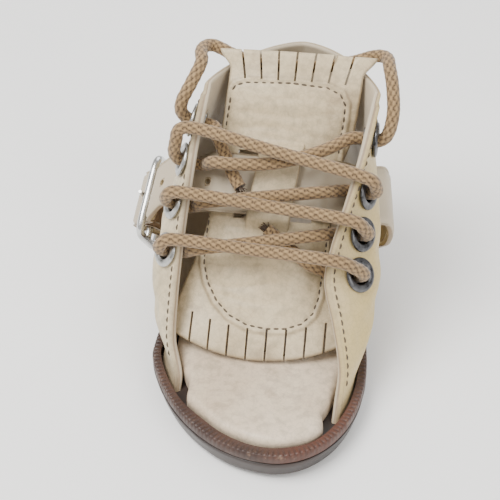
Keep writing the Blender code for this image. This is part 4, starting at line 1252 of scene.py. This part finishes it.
def ribbon(name, route, widths, wide, thick, count, look, tip=0.0):
    """A leather band with rounded edges; layer is 0 on its outer face and 1 on its flesh side."""
    line = smooth_line(route, count)
    rings, layers, dirts = [], [], []
    round_edge = thick * 0.36
    half_t = thick / 2
    section = band_section()
    total = (len(line) - 1) * (line[1] - line[0]).length
    for i, place in enumerate(line):
        along = (line[min(count - 1, i + 1)] - line[max(0, i - 1)]).normalized()
        across = across_band(route, widths, place)
        normal = along.cross(across).normalized()
        half = wide / 2
        left = total * (1 - i / (count - 1))
        if tip and left < tip:
            half *= math.sqrt(max(0.04, 1 - (1 - left / tip) ** 2))
        ring = []
        for x, y in section:
            edge = 1 - abs(x)
            pull = eased(edge * half, round_edge) if abs(y) == 1 else 0.0
            inset = 0.0 if abs(x) < 1 else eased((1 - abs(y)) * half_t, round_edge) * 0.6
            crown = 0.10 * MM * (1 - x * x)
            groove = 0.10 * MM * math.exp(-(((edge * half - 1.5 * MM) / (0.5 * MM)) ** 2))
            wave = 0.07 * MM * noise.noise((place + across * x * half) * 160)
            height = y * (half_t - pull) + (crown - groove) * (y == 1) + wave
            ring.append(place + across * (x * half - math.copysign(inset, x)) + normal * height)
            layers.append(0.5 - y * 0.5)
            dirts.append(0.3 if abs(x) > 0.93 else 0.0)
        rings.append(ring)
    cap = [tuple(range(len(section)))]
    return join_rings(name, rings, look, cap, cap, layer=layers, dirt=dirts), line


def nearest_span(route, place):
    def away(k):
        a, b = route[k], route[k + 1]
        share = min(1.0, max(0.0, (place - a).dot(b - a) / (b - a).length_squared))
        return (a.lerp(b, share) - place).length

    return min(range(len(route) - 1), key=away)


ANCHOR_RIGHT = 36 * MM
ANCHOR_LEFT = 30 * MM
# Outside a wall: share of the way up to the slot, and distance from the wall in mm
OUTSIDE_ROWS = ((0.0, 1.5), (0.3, 3.2), (0.6, 4.6), (0.82, 4.2))


def outside_route(side, anchor_y):
    """A strap's way up the outside of a wall, from the welt to short of the slot, with its widths."""
    slot, _, long = slot_frame(side)
    foot_z = WELT_TOP + 3 * GAP
    places, widths = [], []
    for share, stand_off in OUTSIDE_ROWS:
        y = mix(anchor_y, slot.y, share)
        z = mix(foot_z, slot.z, share)
        at, height = wall_at(side, y, z)
        if share == 0:
            height = max(height, 0.0)
        normal = wall_normal(side, at, height)
        if share == 0:
            normal = Vector((normal.x, normal.y, 0.0)).normalized()
        place = wall_outer(side, at, height) + normal * stand_off * MM
        place.z = z
        places.append(place)
        level = normal.cross(Vector((0.0, 0.0, 1.0))) * side
        level = level if level.y > 0 else -level
        widths.append(level.normalized().lerp(long, smooth(0.0, 0.75, share)).normalized())
    return places, widths


def strap_inside(side):
    """From the middle of a slot to the tongue's shoulder."""
    slot, outward, _ = slot_frame(side)
    return [slot + outward * 4.5 * MM, slot, slot - outward * 4.5 * MM]


# Buckle
BUCKLE_BACK = 20.3 * MM
BUCKLE_RAISED = 25.5 * MM
BUCKLE_OUT = 8.0 * MM  # from the wall to the middle of the frame
CHAPE_THICK = 1.6 * MM


def buckle_frame_of():
    """Middle of the buckle, and its directions: along its long side, down the strap and outwards."""
    at, height = wall_at(-1, BUCKLE_BACK, BUCKLE_RAISED)
    place = wall_outer(-1, at, height) + wall_normal(-1, at, height) * BUCKLE_OUT
    down = Vector((0.1, 0.62, -0.78)).normalized()
    wide = Vector((0.12, 0.76, 0.64))
    wide = (wide - down * wide.dot(down)).normalized()
    return place, wide, down, down.cross(wide).normalized() * -1


def in_buckle(a, b, n):
    place, wide, down, out = buckle_frame_of()
    return place + wide * a + down * b + out * n


BAR_OUT = BUCKLE_BAR / 2 + GAP + CHAPE_THICK  # outside of the fold about the bar
UNDER = BUCKLE_WIRE / 2 + GAP + STRAP_THICK / 2 + 0.1 * MM
SIDE_B = BUCKLE_LENGTH / 2 - BUCKLE_WIRE / 2


def make_strap():
    _, wide, _, _ = buckle_frame_of()
    right_places, right_widths = outside_route(1, ANCHOR_RIGHT)
    route = list(right_places)
    widths = list(right_widths)
    inner = strap_inside(1)
    route += inner
    widths += [slot_frame(1)[2]] * len(inner)
    along = SLOT_PLACE * THROAT_LENGTH
    clear = STRAP_THICK / 2 + 2 * GAP
    under = TONGUE_THICK - BRIDGE_LIFT + GAP + STRAP_THICK / 2
    for off in (18.0, 14.5, 11.2, 6.4, 0.0, -6.4, -11.2, -14.5, -18.0):
        x = off * MM + tongue_middle(along)
        across = off * MM / tongue_half(along)
        shift = under if abs(off) < 8 else -clear
        shift -= 0.5 * MM if abs(off) > 16 else 0.0
        route.append(instep(x, along, tongue_depth(across, along) + shift))
        widths.append(UP_THROAT)
    inner = strap_inside(-1)[::-1]
    route += inner
    widths += [slot_frame(-1)[2]] * len(inner)
    rows = (
        (-SIDE_B - 2.5 * MM, -UNDER - 0.2 * MM),
        (-SIDE_B + 1.2 * MM, -UNDER + 0.3 * MM),
        (-SIDE_B * 0.5, 1.8 * MM),
        (0.0, BAR_OUT + GAP + STRAP_THICK / 2 + 0.3 * MM),
        (SIDE_B * 0.5, 1.8 * MM),
        (SIDE_B - 1.2 * MM, -UNDER + 0.3 * MM),
        (SIDE_B + 2.5 * MM, -UNDER - 0.2 * MM),
        (SIDE_B + 5.5 * MM, -UNDER - 0.2 * MM),
    )
    for b, n in rows:
        route.append(in_buckle(0.4 * MM * smooth(0, -SIDE_B, b), b, n))
        widths.append(wide)
    body, line = ribbon("boot_strap", route, widths, STRAP_WIDTH, STRAP_THICK, 420, STRAP_LOOK, tip=5 * MM)
    cut(body, prong_hole())
    punched(body, line, route, widths, HOLE_STATIONS)
    settle(body)
    shown(body, "strap", "strap")
    return route, widths, line


PRONG = 0.7 * MM
PRONG_BASE = BUCKLE_BAR / 2 + 1.3 * GAP + PRONG


def prong_route():
    hook = []
    for angle in (-70, -35, 0, 40):
        turn = math.radians(180 + angle)
        hook.append(in_buckle(0, PRONG_BASE * math.cos(turn), -PRONG_BASE * math.sin(turn)))
    rest = BUCKLE_WIRE / 2 + GAP + PRONG
    return [hook[0], hook[1], hook[2]] + [
        in_buckle(0, -SIDE_B * 0.55, rest * 0.75),
        in_buckle(0, -SIDE_B, rest),
        in_buckle(0, -SIDE_B - 1.6 * MM, rest * 0.95),
    ]


def prong_hole():
    """An opening along the prong, through the rising part of the strap."""
    _, wide, _, _ = buckle_frame_of()
    a = in_buckle(0, -PRONG_BASE + 0.4 * MM, 0.2 * MM)
    b = in_buckle(0, -SIDE_B, BUCKLE_WIRE / 2 + PRONG)
    frame = oriented((b - a).normalized(), wide, (a + b) / 2)
    return box_cutter(frame, ((b - a).length, 2 * PRONG + 4 * GAP, 2 * PRONG + 7 * GAP))


# Lace
# Crossings: share of the way from left to right, depth and sag of the top one, depth of the others, mm
CROSS_ROWS = ((0.08, 2.0, 1.0, 3.6), (0.2, 0.9, 2.4, 2.8), (0.5, 1.7, 4.0, 2.4), (0.8, 2.3, 2.6, 1.8))

# The loop from the right top eyelet, over the collar, behind the tongue and round to the left one
# across, back and up, in mm
LOOP_ROWS = (
    (31.9, 13.0, 66.7),
    (31.2, 18.5, 72.8),
    (30.0, 23.8, 75.4),
    (29.0, 29.3, 75.4),
    (25.6, 31.6, 74.3),
    (20.0, 30.0, 73.0),
    (13.0, 28.4, 72.1),
    (4.5, 27.8, 71.7),
    (-5.0, 27.8, 71.8),
    (-12.5, 29.0, 73.0),
    (-19.3, 30.8, 75.0),
    (-21.8, 26.2, 75.8),
    (-20.8, 20.5, 75.5),
    (-22.8, 15.0, 72.0),
    (-25.4, 12.0, 66.6),
)
# The two ends: across, down the throat and depth under its line, in mm
END_1_ROWS = ((-15.5, 13.0, 4.2), (-12.5, 19.0, 5.5), (-10.0, 24.0, 4.8), (-7.6, 27.5, 4.2))
END_2_ROWS = ((13.3, 47.0, 6.0), (6.1, 42.2, 5.8), (0.5, 38.2, 5.6))


def bar_end(side, row):
    """From an eyelet's outer side, over the edge of the wall and inwards."""
    place, axis, (_, height) = eyelet_frame(side, row)
    column = "bar_right" if side > 0 else "bar_left"
    edge = wall_outer(side, 0, height + EYELET_ROWS[row][EYELET_COLUMNS.index(column)])
    over = edge - INTO_SHOE * (LACE_THICK / 2 + 0.9 * MM)
    turn = place.lerp(over, 0.45) + axis * 3.4 * MM
    return [place + axis * 2.1 * MM, turn, over + axis * 0.8 * MM]


def inner_end(side, row):
    """Just under an eyelet, inside the shoe."""
    place, axis, _ = eyelet_frame(side, row)
    return place - axis * (WALL + LACE_THICK / 2 + 1.3 * MM)


def make_buckle():
    place, wide, _, out = buckle_frame_of()
    wire = BUCKLE_WIRE / 2
    half_a = BUCKLE_HEIGHT / 2 - wire
    steps, sides = 160, 20
    middle = []
    for i in range(steps):
        turn = 2 * math.pi * i / steps
        c, s = math.cos(turn), math.sin(turn)
        a = math.copysign(abs(c) ** 0.33, c) * half_a
        b = math.copysign(abs(s) ** 0.33, s) * SIDE_B
        middle.append(in_buckle(a, b, 0))
    middle = resample(middle, steps, closed=True)
    verts = []
    for i in range(steps):
        along = (middle[(i + 1) % steps] - middle[i - 1]).normalized()
        across = along.cross(out).normalized()
        for k in range(sides):
            turn = 2 * math.pi * k / sides
            verts.append(middle[i] + across * wire * math.cos(turn) + out * wire * math.sin(turn))
    faces = ring_faces(steps, sides, closed=True)
    shown(new_object("boot_buckle_frame", verts, faces, CHROME), "buckle", "buckle_frame")
    stations = [mix(-1, 1, i / 20) for i in range(21)]
    rings = []
    for s in stations:
        bar_radius = BUCKLE_BAR / 2 * (1 + 0.12 * abs(s) ** 8)
        rings.append(ring_points(place + wide * half_a * s, wide, bar_radius, 20))
    cap = [tuple(range(20))]
    shown(join_rings("boot_buckle_bar", rings, CHROME, cap, cap), "buckle")
    line = smooth_line(prong_route(), 60)
    prong = tube("boot_prong", line, lambda k, turn: PRONG * (1 - 0.35 * smooth(48, 59, k)), 14, CHROME)
    shown(prong, "buckle", "buckle_prong")


def tube(name, line, radius, sides, look):
    """A round tube along a line; radius is a function of the ring's number and the turn about it."""
    verts = []
    along = (line[1] - line[0]).normalized()
    side = along.orthogonal().normalized()
    for k, place in enumerate(line):
        ahead = (line[min(len(line) - 1, k + 1)] - line[max(0, k - 1)]).normalized()
        side = (side - ahead * side.dot(ahead)).normalized()
        up = ahead.cross(side)
        for i in range(sides):
            turn = 2 * math.pi * i / sides
            verts.append(place + (side * math.cos(turn) + up * math.sin(turn)) * radius(k, turn))
    last = (len(line) - 1) * sides
    faces = ring_faces(len(line), sides)
    faces += [tuple(range(sides)), tuple(last + i for i in range(sides))]
    return new_object(name, verts, faces, look)


def make_buckle_strap():
    _, wide, _, _ = buckle_frame_of()
    side = -1
    foot_z = WELT_TOP + 3 * GAP
    at, height = wall_at(side, ANCHOR_LEFT, foot_z)
    normal = wall_normal(side, at, height)
    normal = Vector((normal.x, normal.y, 0.0)).normalized()
    foot = wall_outer(side, at, height) + normal * 2.6 * MM
    foot.z = foot_z
    level = normal.cross(Vector((0.0, 0.0, 1.0)))
    level = level if level.y > 0 else -level
    under = UNDER + STRAP_THICK / 2 + GAP + CHAPE_THICK / 2 + 0.65 * MM
    fold = BUCKLE_BAR / 2 + 1.5 * GAP + CHAPE_THICK / 2
    end = in_buckle(0, SIDE_B + 7 * MM, -under)
    route = [foot, foot.lerp(end, 0.5) + normal * 0.8 * MM, end]
    route += [in_buckle(0, SIDE_B, -under), in_buckle(0, 4 * MM, -under + 1.4 * MM)]
    widths = [level, level.lerp(wide, 0.5), wide, wide, wide]
    for angle in (-90, -130, 180, 130, 90, 72):
        turn = math.radians(angle)
        route.append(in_buckle(0, fold * math.cos(turn), fold * math.sin(turn)))
        widths.append(wide)
    # The chape takes the darker leather, with its painted shade.
    body, line = ribbon("boot_chape", route, widths, STRAP_WIDTH - 1 * MM, CHAPE_THICK, 220, CHAPE_SHADED_LOOK)
    shown(body, "strap", "buckle_strap")
    return route, widths, line


def lace_points():
    """The whole lace from one end to the other, through the eyelets."""

    def across_throat(row):
        start, end = inner_end(-1, row), inner_end(1, row - 1)
        route = [start]
        for share, top_sink, top_sag, sink in CROSS_ROWS:
            depth = top_sink if row == 1 else sink
            along = THROAT_LENGTH * mix(EYELET_ROWS[row][1], EYELET_ROWS[row - 1][0], share)
            along += top_sag * MM if row == 1 else 0.0
            route.append(instep(mix(start.x, end.x, share), along, depth * MM))
        return (route + [end])[::-1]

    def bar(row):
        left, right = bar_end(-1, row), bar_end(1, row)
        return left + [(left[2] + right[2]) / 2] + right[::-1]

    loop = [Vector(row) * MM for row in LOOP_ROWS][::-1]
    outs = {}
    for sign in (1, -1):
        place, axis, _ = eyelet_frame(sign, 0)
        outs[sign] = place + axis * 2.4 * MM
    return [
        [instep(x * MM, down * MM, sink * MM) for x, down, sink in END_1_ROWS][::-1] + [inner_end(-1, 0)],
        [outs[-1]] + loop + [outs[1]],
        across_throat(1),
        bar(1),
        across_throat(2),
        bar(2),
        across_throat(3),
        bar(3),
        [inner_end(1, 3)] + [instep(x * MM, down * MM, sink * MM) for x, down, sink in END_2_ROWS],
    ]


def softened(line, rounds):
    """Evens out the corners of a finely stepped line, ends kept."""
    for _ in range(rounds):
        line = [line[0]] + [(a + b * 2 + c) / 4 for a, b, c in zip(line, line[1:], line[2:])] + [line[-1]]
    return line


STRANDS = 7
STRAND_PITCH = 2.6 * MM
LACE_SIDES = 24
LACE_RINGS = 2600


def braided(name, line, thick):
    """A round braid: raised strands that cross each other, with painted shade between them."""
    reach = [0.0]
    for a, b in zip(line, line[1:]):
        reach.append(reach[-1] + (b - a).length)
    strands = []  # filled while the tube is made

    def radius(k, turn):
        a = turn / (2 * math.pi) * STRANDS + reach[k] / STRAND_PITCH
        b = turn / (2 * math.pi) * STRANDS - reach[k] / STRAND_PITCH
        parity = (math.floor(a) + math.floor(b)) % 2
        fa, fb = a % 1, b % 1
        over, along = (fb, fa) if parity else (fa, fb)
        rise = math.sin(math.pi * over) ** 0.5 * (0.55 + 0.45 * math.sin(math.pi * along))
        strands.append(rise)
        return thick / 2 * (0.89 + 0.13 * rise)

    obj = tube(name, line, radius, LACE_SIDES, LACE_LOOK)
    mesh = obj.data
    # The strands' rise, which the lace's finish turns into painted shade between them.
    mesh.attributes.new("strand_shade", "FLOAT", "POINT").data.foreach_set("value", strands)
    return obj, reach[-1]


def frayed(name, tip, along, rand):
    """Loose yarns at a cut end of the lace."""
    yarns = []
    side = along.orthogonal().normalized()
    up = along.cross(side)
    for _ in range(22):
        turn = rand.uniform(0, 2 * math.pi)
        off = (side * math.cos(turn) + up * math.sin(turn)) * rand.uniform(0.1, 1.0)
        start = tip + off * 1.2 * MM - along * 0.8 * MM
        reach = rand.uniform(1.6, 3.0) * MM
        bend = off * rand.uniform(0.2, 1.5) * MM + Vector((rand.uniform(-0.4, 0.4),) * 3) * MM
        points = [start, start + along * reach * 0.5, start + along * reach + bend]
        line = smooth_line(points, 7)
        yarns.append(tube(name, line, lambda k, turn: 0.17 * MM * (1 - 0.06 * k), 5, LACE_LOOK))
    return joined(name, yarns)


def joined(name, parts):
    """One piece from several."""
    verts, faces = [], []
    look = parts[0].data.materials[0]
    for part in parts:
        shift = len(verts)
        verts += [v.co.copy() for v in part.data.vertices]
        faces += [tuple(shift + i for i in f.vertices) for f in part.data.polygons]
        bpy.data.objects.remove(part)
    return new_object(name, verts, faces, look)


def make_lace():
    rows = [f"lace_{kind}_{row}" for row in (1, 2, 3) for kind in ("cross", "bar")]
    names = ["lace_end_1", "lace_loop", *rows, "lace_end_2"]
    points = [place for stretch in lace_points() for place in stretch]
    line = resample(softened(smooth_line(points, LACE_RINGS), 40), LACE_RINGS)
    lace, length = braided("boot_lace", line, LACE_THICK)
    rand = random.Random(3)
    ends = [
        frayed("lace_fray_1", line[0], (line[0] - line[6]).normalized(), rand),
        frayed("lace_fray_2", line[-1], (line[-1] - line[-7]).normalized(), rand),
    ]
    shown(lace, "lace", *names)
    for end in ends:
        shown(end, "lace")


# Stitches
def stitch(place, along, normal, long, thick):
    """One stitch: a short thread that dips into the leather at both ends."""
    across = along.cross(normal).normalized()
    verts = []
    for k in range(6):
        s = k / 5
        lift = math.sin(math.pi * s)
        centre = place + along * (s - 0.5) * long + normal * (thick * (lift * 0.75 - 0.45))
        for i in range(6):
            turn = 2 * math.pi * i / 6
            verts.append(centre + (across * math.cos(turn) + normal * math.sin(turn)) * thick / 2)
    return verts, ring_faces(6, 6) + [tuple(range(6)), tuple(30 + i for i in range(6))]


def stitched(name, lines, look, slot, pitch=2.3 * MM, long=1.6 * MM, thick=0.5 * MM):
    """Rows of stitches along lines of (place, normal)."""
    verts, faces = [], []
    for line in lines:
        reach = [0.0]
        for a, b in zip(line, line[1:]):
            reach.append(reach[-1] + (b[0] - a[0]).length)
        count = int(reach[-1] / pitch)
        k = 0
        for n in range(count):
            want = (n + 0.5) * pitch
            while k < len(line) - 2 and reach[k + 1] < want:
                k += 1
            share = (want - reach[k]) / max(1e-9, reach[k + 1] - reach[k])
            place = line[k][0].lerp(line[k + 1][0], share)
            normal = line[k][1].lerp(line[k + 1][1], share).normalized()
            along = (line[k + 1][0] - line[k][0]).normalized()
            if any((place - at).length < free for at, free in KEEP_FREE):
                continue
            more, sides = stitch(place, along, normal, long, thick)
            shift = len(verts)
            verts += more
            faces += [tuple(shift + i for i in face) for face in sides]
    shown(new_object(name, verts, faces, look), slot)


def face_spot(side, share, height):
    """A place on the dressed wall's outer face, with its normal."""
    normal = wall_normal(side, share, height)
    place = wall_outer(side, share, height)
    step = COLLAR_STEP if height > collar_seam(share) else 0.0
    return place - normal * (step + softness(side, share, height, place)), normal


def wall_line(side, spots):
    """Places just on the wall's outer face through (share, height) spots."""
    out = []
    for (s0, h0), (s1, h1) in zip(spots, spots[1:]):
        for k in range(12):
            s, h = mix(s0, s1, k / 12), mix(h0, h1, k / 12)
            out.append(face_spot(side, s, h))
    return out


def tongue_line(spots, off):
    """Places on the tongue's face through (x, along) spots, moved inwards from the panel's edge."""
    centre = Vector((1.5, 32.0))
    out = []
    ring = [Vector(s) for s in spots]
    ring = resample(ring, 240, closed=True)
    for i, at in enumerate(ring):
        ahead = ring[(i + 1) % len(ring)] - ring[i - 1]
        inward = Vector((-ahead.y, ahead.x)).normalized()
        if inward.dot(centre - at) < 0:
            inward = -inward
        spot = at + inward * off
        x, along = spot.x * MM, spot.y * MM
        across = (x - tongue_middle(along)) / tongue_half(along)
        depth = tongue_depth(across, along) - panel_lift(x, along)
        if abs(along - SLOT_PLACE * THROAT_LENGTH) < STRAP_WIDTH / 2 + 1.5 * MM:
            depth += 0.6 * MM
        out.append((instep(x, along, depth), INTO_SHOE * -1))
    return out


def band_lines(route, widths, line, wide, thick, faces=(1,), inset=1.5 * MM):
    """Places along both edges of a strap."""
    out = []
    for face in faces:
        for sign in (-1, 1):
            row = []
            for i in range(4, len(line) - 12, 2):
                place = line[i]
                along = (line[i + 1] - line[i - 1]).normalized()
                across = across_band(route, widths, place)
                normal = along.cross(across).normalized() * face
                edge = place + across * sign * (wide / 2 - inset)
                row.append((edge + normal * (thick / 2 + 0.02 * MM), normal))
            out.append(row)
    return out


KEEP_FREE = []  # places and distances round them that stay without stitches
THROAT_STITCH = 1.5 / 84  # share of the way back
COLLAR_STITCH = 0.972  # share of the height
BACK_STITCH = 1 - 0.012
WINDOW_STITCH = 2.4 * MM  # from the window's edge


def make_stitches(strap, chape):
    for side in (-1, 1):
        for row in range(len(EYELET_ROWS)):
            KEEP_FREE.append((eyelet_frame(side, row)[0], EYELET_OUTER / 2 + 0.3 * MM))
        place, _, _ = slot_frame(side)
        KEEP_FREE.append((place, 0.5 * SLOT_WIDTH))
    dark, seams = [], []
    for side in (-1, 1):
        dark.append(wall_line(side, [(THROAT_STITCH, h / 20) for h in range(2, 20)]))
        dark.append(wall_line(side, [(s / 20, COLLAR_STITCH) for s in range(1, 21)]))
        for under in (0.022, 0.048):
            dark.append(wall_line(side, [(s / 24, collar_seam(s / 24) - under) for s in range(2, 25)]))
        slot = slot_frame(side)[0]
        slot_s, _ = wall_at(side, slot.y, slot.z)
        for off in (0.16, 0.185):
            at = slot_s + off
            seams.append(wall_line(side, [(at, 0.10), (at - 0.02, 0.35), (at - 0.05, 0.62)]))
    for side in (-1, 1):
        dark.append(wall_line(side, [(BACK_STITCH, h / 20) for h in range(9, 16)]))
    ring = []
    for i in range(61):
        turn = math.radians(-90) + 2 * math.pi * i / 60
        up = math.sin(turn)
        power = 0.45 if up > 0 else 1.0
        middle = mix(WINDOW_FOOT, WINDOW_TOP, 0.55)
        reach = (WINDOW_TOP - middle if up > 0 else middle - WINDOW_FOOT) + WINDOW_STITCH
        wide = abs(math.cos(turn)) ** (0.75 if up > 0 else 1.0)
        x = WINDOW_SIDE + math.copysign(wide, math.cos(turn)) * (WINDOW_WIDTH / 2 + WINDOW_STITCH)
        z = middle + math.copysign(abs(up) ** power, up) * reach
        ring.append(back_point(x, z))
    stitched("wall_stitches", dark, THREAD, "upper")
    stitched("side_stitches", seams, THREAD, "upper", pitch=2.6 * MM)
    stitched("window_stitches", [ring], THREAD, "upper", pitch=2.4 * MM)
    stitched("panel_stitches", [tongue_line(PANEL, 1.5)], THREAD, "tongue", pitch=2.2 * MM)
    lines = band_lines(*strap, STRAP_WIDTH, STRAP_THICK)
    stitched("strap_stitches", lines, PALE_THREAD, "strap", pitch=2.4 * MM, thick=0.42 * MM)
    lines = band_lines(*chape, STRAP_WIDTH - 1 * MM, CHAPE_THICK, faces=(-1, 1))
    stitched("chape_stitches", lines, PALE_THREAD, "strap", pitch=2.4 * MM, thick=0.42 * MM)


def back_point(x, z):
    """The place on the heel's outer face at this x and z, with its normal."""
    best = None
    for side in (-1, 1):
        for k in range(160):
            share = mix(0.55, 1.0, k / 159)
            low, high = wall_heights(side, share)
            height = min(1.0, max(0.0, (z - low) / (high - low)))
            place = wall_outer(side, share, height)
            away = abs(place.x - x)
            if best is None or away < best[0]:
                best = (away, side, share, height)
    return face_spot(*best[1:])


HOLE_STATIONS = tuple(mm * MM for mm in (28.1, 37.3, 46.8, 56.3))  # from the strap's tip


def punched(obj, line, route, widths, stations):
    """Adjustment holes through a strap."""
    reach = [0.0]
    for a, b in zip(line, line[1:]):
        reach.append(reach[-1] + (b - a).length)
    for want in stations:
        i = min(range(1, len(line) - 1), key=lambda n: abs(reach[-1] - reach[n] - want))
        along = (line[i + 1] - line[i - 1]).normalized()
        k = min(len(route) - 2, nearest_span(route, line[i]))
        across = widths[k].normalized()
        normal = along.cross(across).normalized()
        cut(obj, tube_cutter(line[i], normal, 0.9 * MM, 5 * MM))


# Camera, floor and light
EYE = Vector((31.9, -278.3, 251.4)) * MM
PHOTO_LENS = 86.73
CLOSER = 1.06


def make_camera():
    forward = Vector((0.0008, 0.7771, -0.6293))
    right = Vector((1.0, -0.0011, 0.0))
    up = Vector((0.0007, 0.6293, 0.7771))
    aim = (forward - right * 0.1038 + up * 0.004).normalized()
    side = aim.cross(Vector((0.0, 0.0, 1.0))).normalized()
    over = side.cross(aim).normalized()
    data = bpy.data.cameras.new("camera")
    data.sensor_width = 36
    data.lens = PHOTO_LENS * CLOSER
    data.clip_start = 0.01
    camera = bpy.data.objects.new("camera", data)
    turn = Matrix((side, over, -aim)).transposed().to_4x4()
    turn.translation = EYE
    camera.matrix_world = turn
    bpy.context.scene.collection.objects.link(camera)
    bpy.context.scene.camera = camera


def make_light(name, place, aim, size, power, color):
    data = bpy.data.lights.new(name, "AREA")
    data.size = size
    data.energy = power
    data.color = color
    lamp = bpy.data.objects.new(name, data)
    lamp.location = place
    lamp.rotation_euler = (Vector(aim) - Vector(place)).to_track_quat("-Z", "Y").to_euler()
    bpy.context.scene.collection.objects.link(lamp)


def make_studio():
    mesh = bpy.data.meshes.new("floor")
    reach = 3.0
    verts = []
    for z, y in ((0, -reach), (0, 1.6), (0.12, 2.1), (0.5, 2.4), (2.4, 2.6)):
        verts += [(-reach, y, z), (reach, y, z)]
    mesh.from_pydata(verts, [], [(2 * i, 2 * i + 1, 2 * i + 3, 2 * i + 2) for i in range(4)])
    mesh.shade_smooth()
    look, tree, shader = shader_of("floor")
    pale = ramp(tree, noise_of(tree, 9, 3), (0.3, (0.90, 0.90, 0.895)), (0.7, (0.93, 0.93, 0.925)))
    tree.links.new(pale, shader.inputs["Base Color"])
    shader.inputs["Roughness"].default_value = 0.7
    mesh.materials.append(look)
    floor = bpy.data.objects.new("floor", mesh)
    bpy.context.scene.collection.objects.link(floor)
    world = bpy.data.worlds.new("world")
    world.use_nodes = True
    back = world.node_tree.nodes["Background"]
    back.inputs["Color"].default_value = (1.0, 0.99, 0.97, 1.0)
    back.inputs["Strength"].default_value = 0.75
    bpy.context.scene.world = world
    make_light("key", (-0.35, -0.25, 0.75), (0, 0, 0.03), 0.5, 11.0, (1.0, 0.985, 0.96))
    make_light("fill", (0.55, -0.45, 0.45), (0, 0, 0.03), 0.6, 3.5, (1.0, 0.98, 0.95))
    make_light("rim", (0.1, 0.6, 0.6), (0, 0, 0.04), 0.6, 3.0, (0.97, 0.98, 1.0))


def main():
    make_camera()
    make_lace()
    make_outsole()
    make_welt()
    make_insole()
    make_upper()
    make_tongue()
    make_eyelets()
    strap = make_strap()
    make_buckle()
    chape = make_buckle_strap()
    make_stitches(strap, chape)
    make_studio()


main()
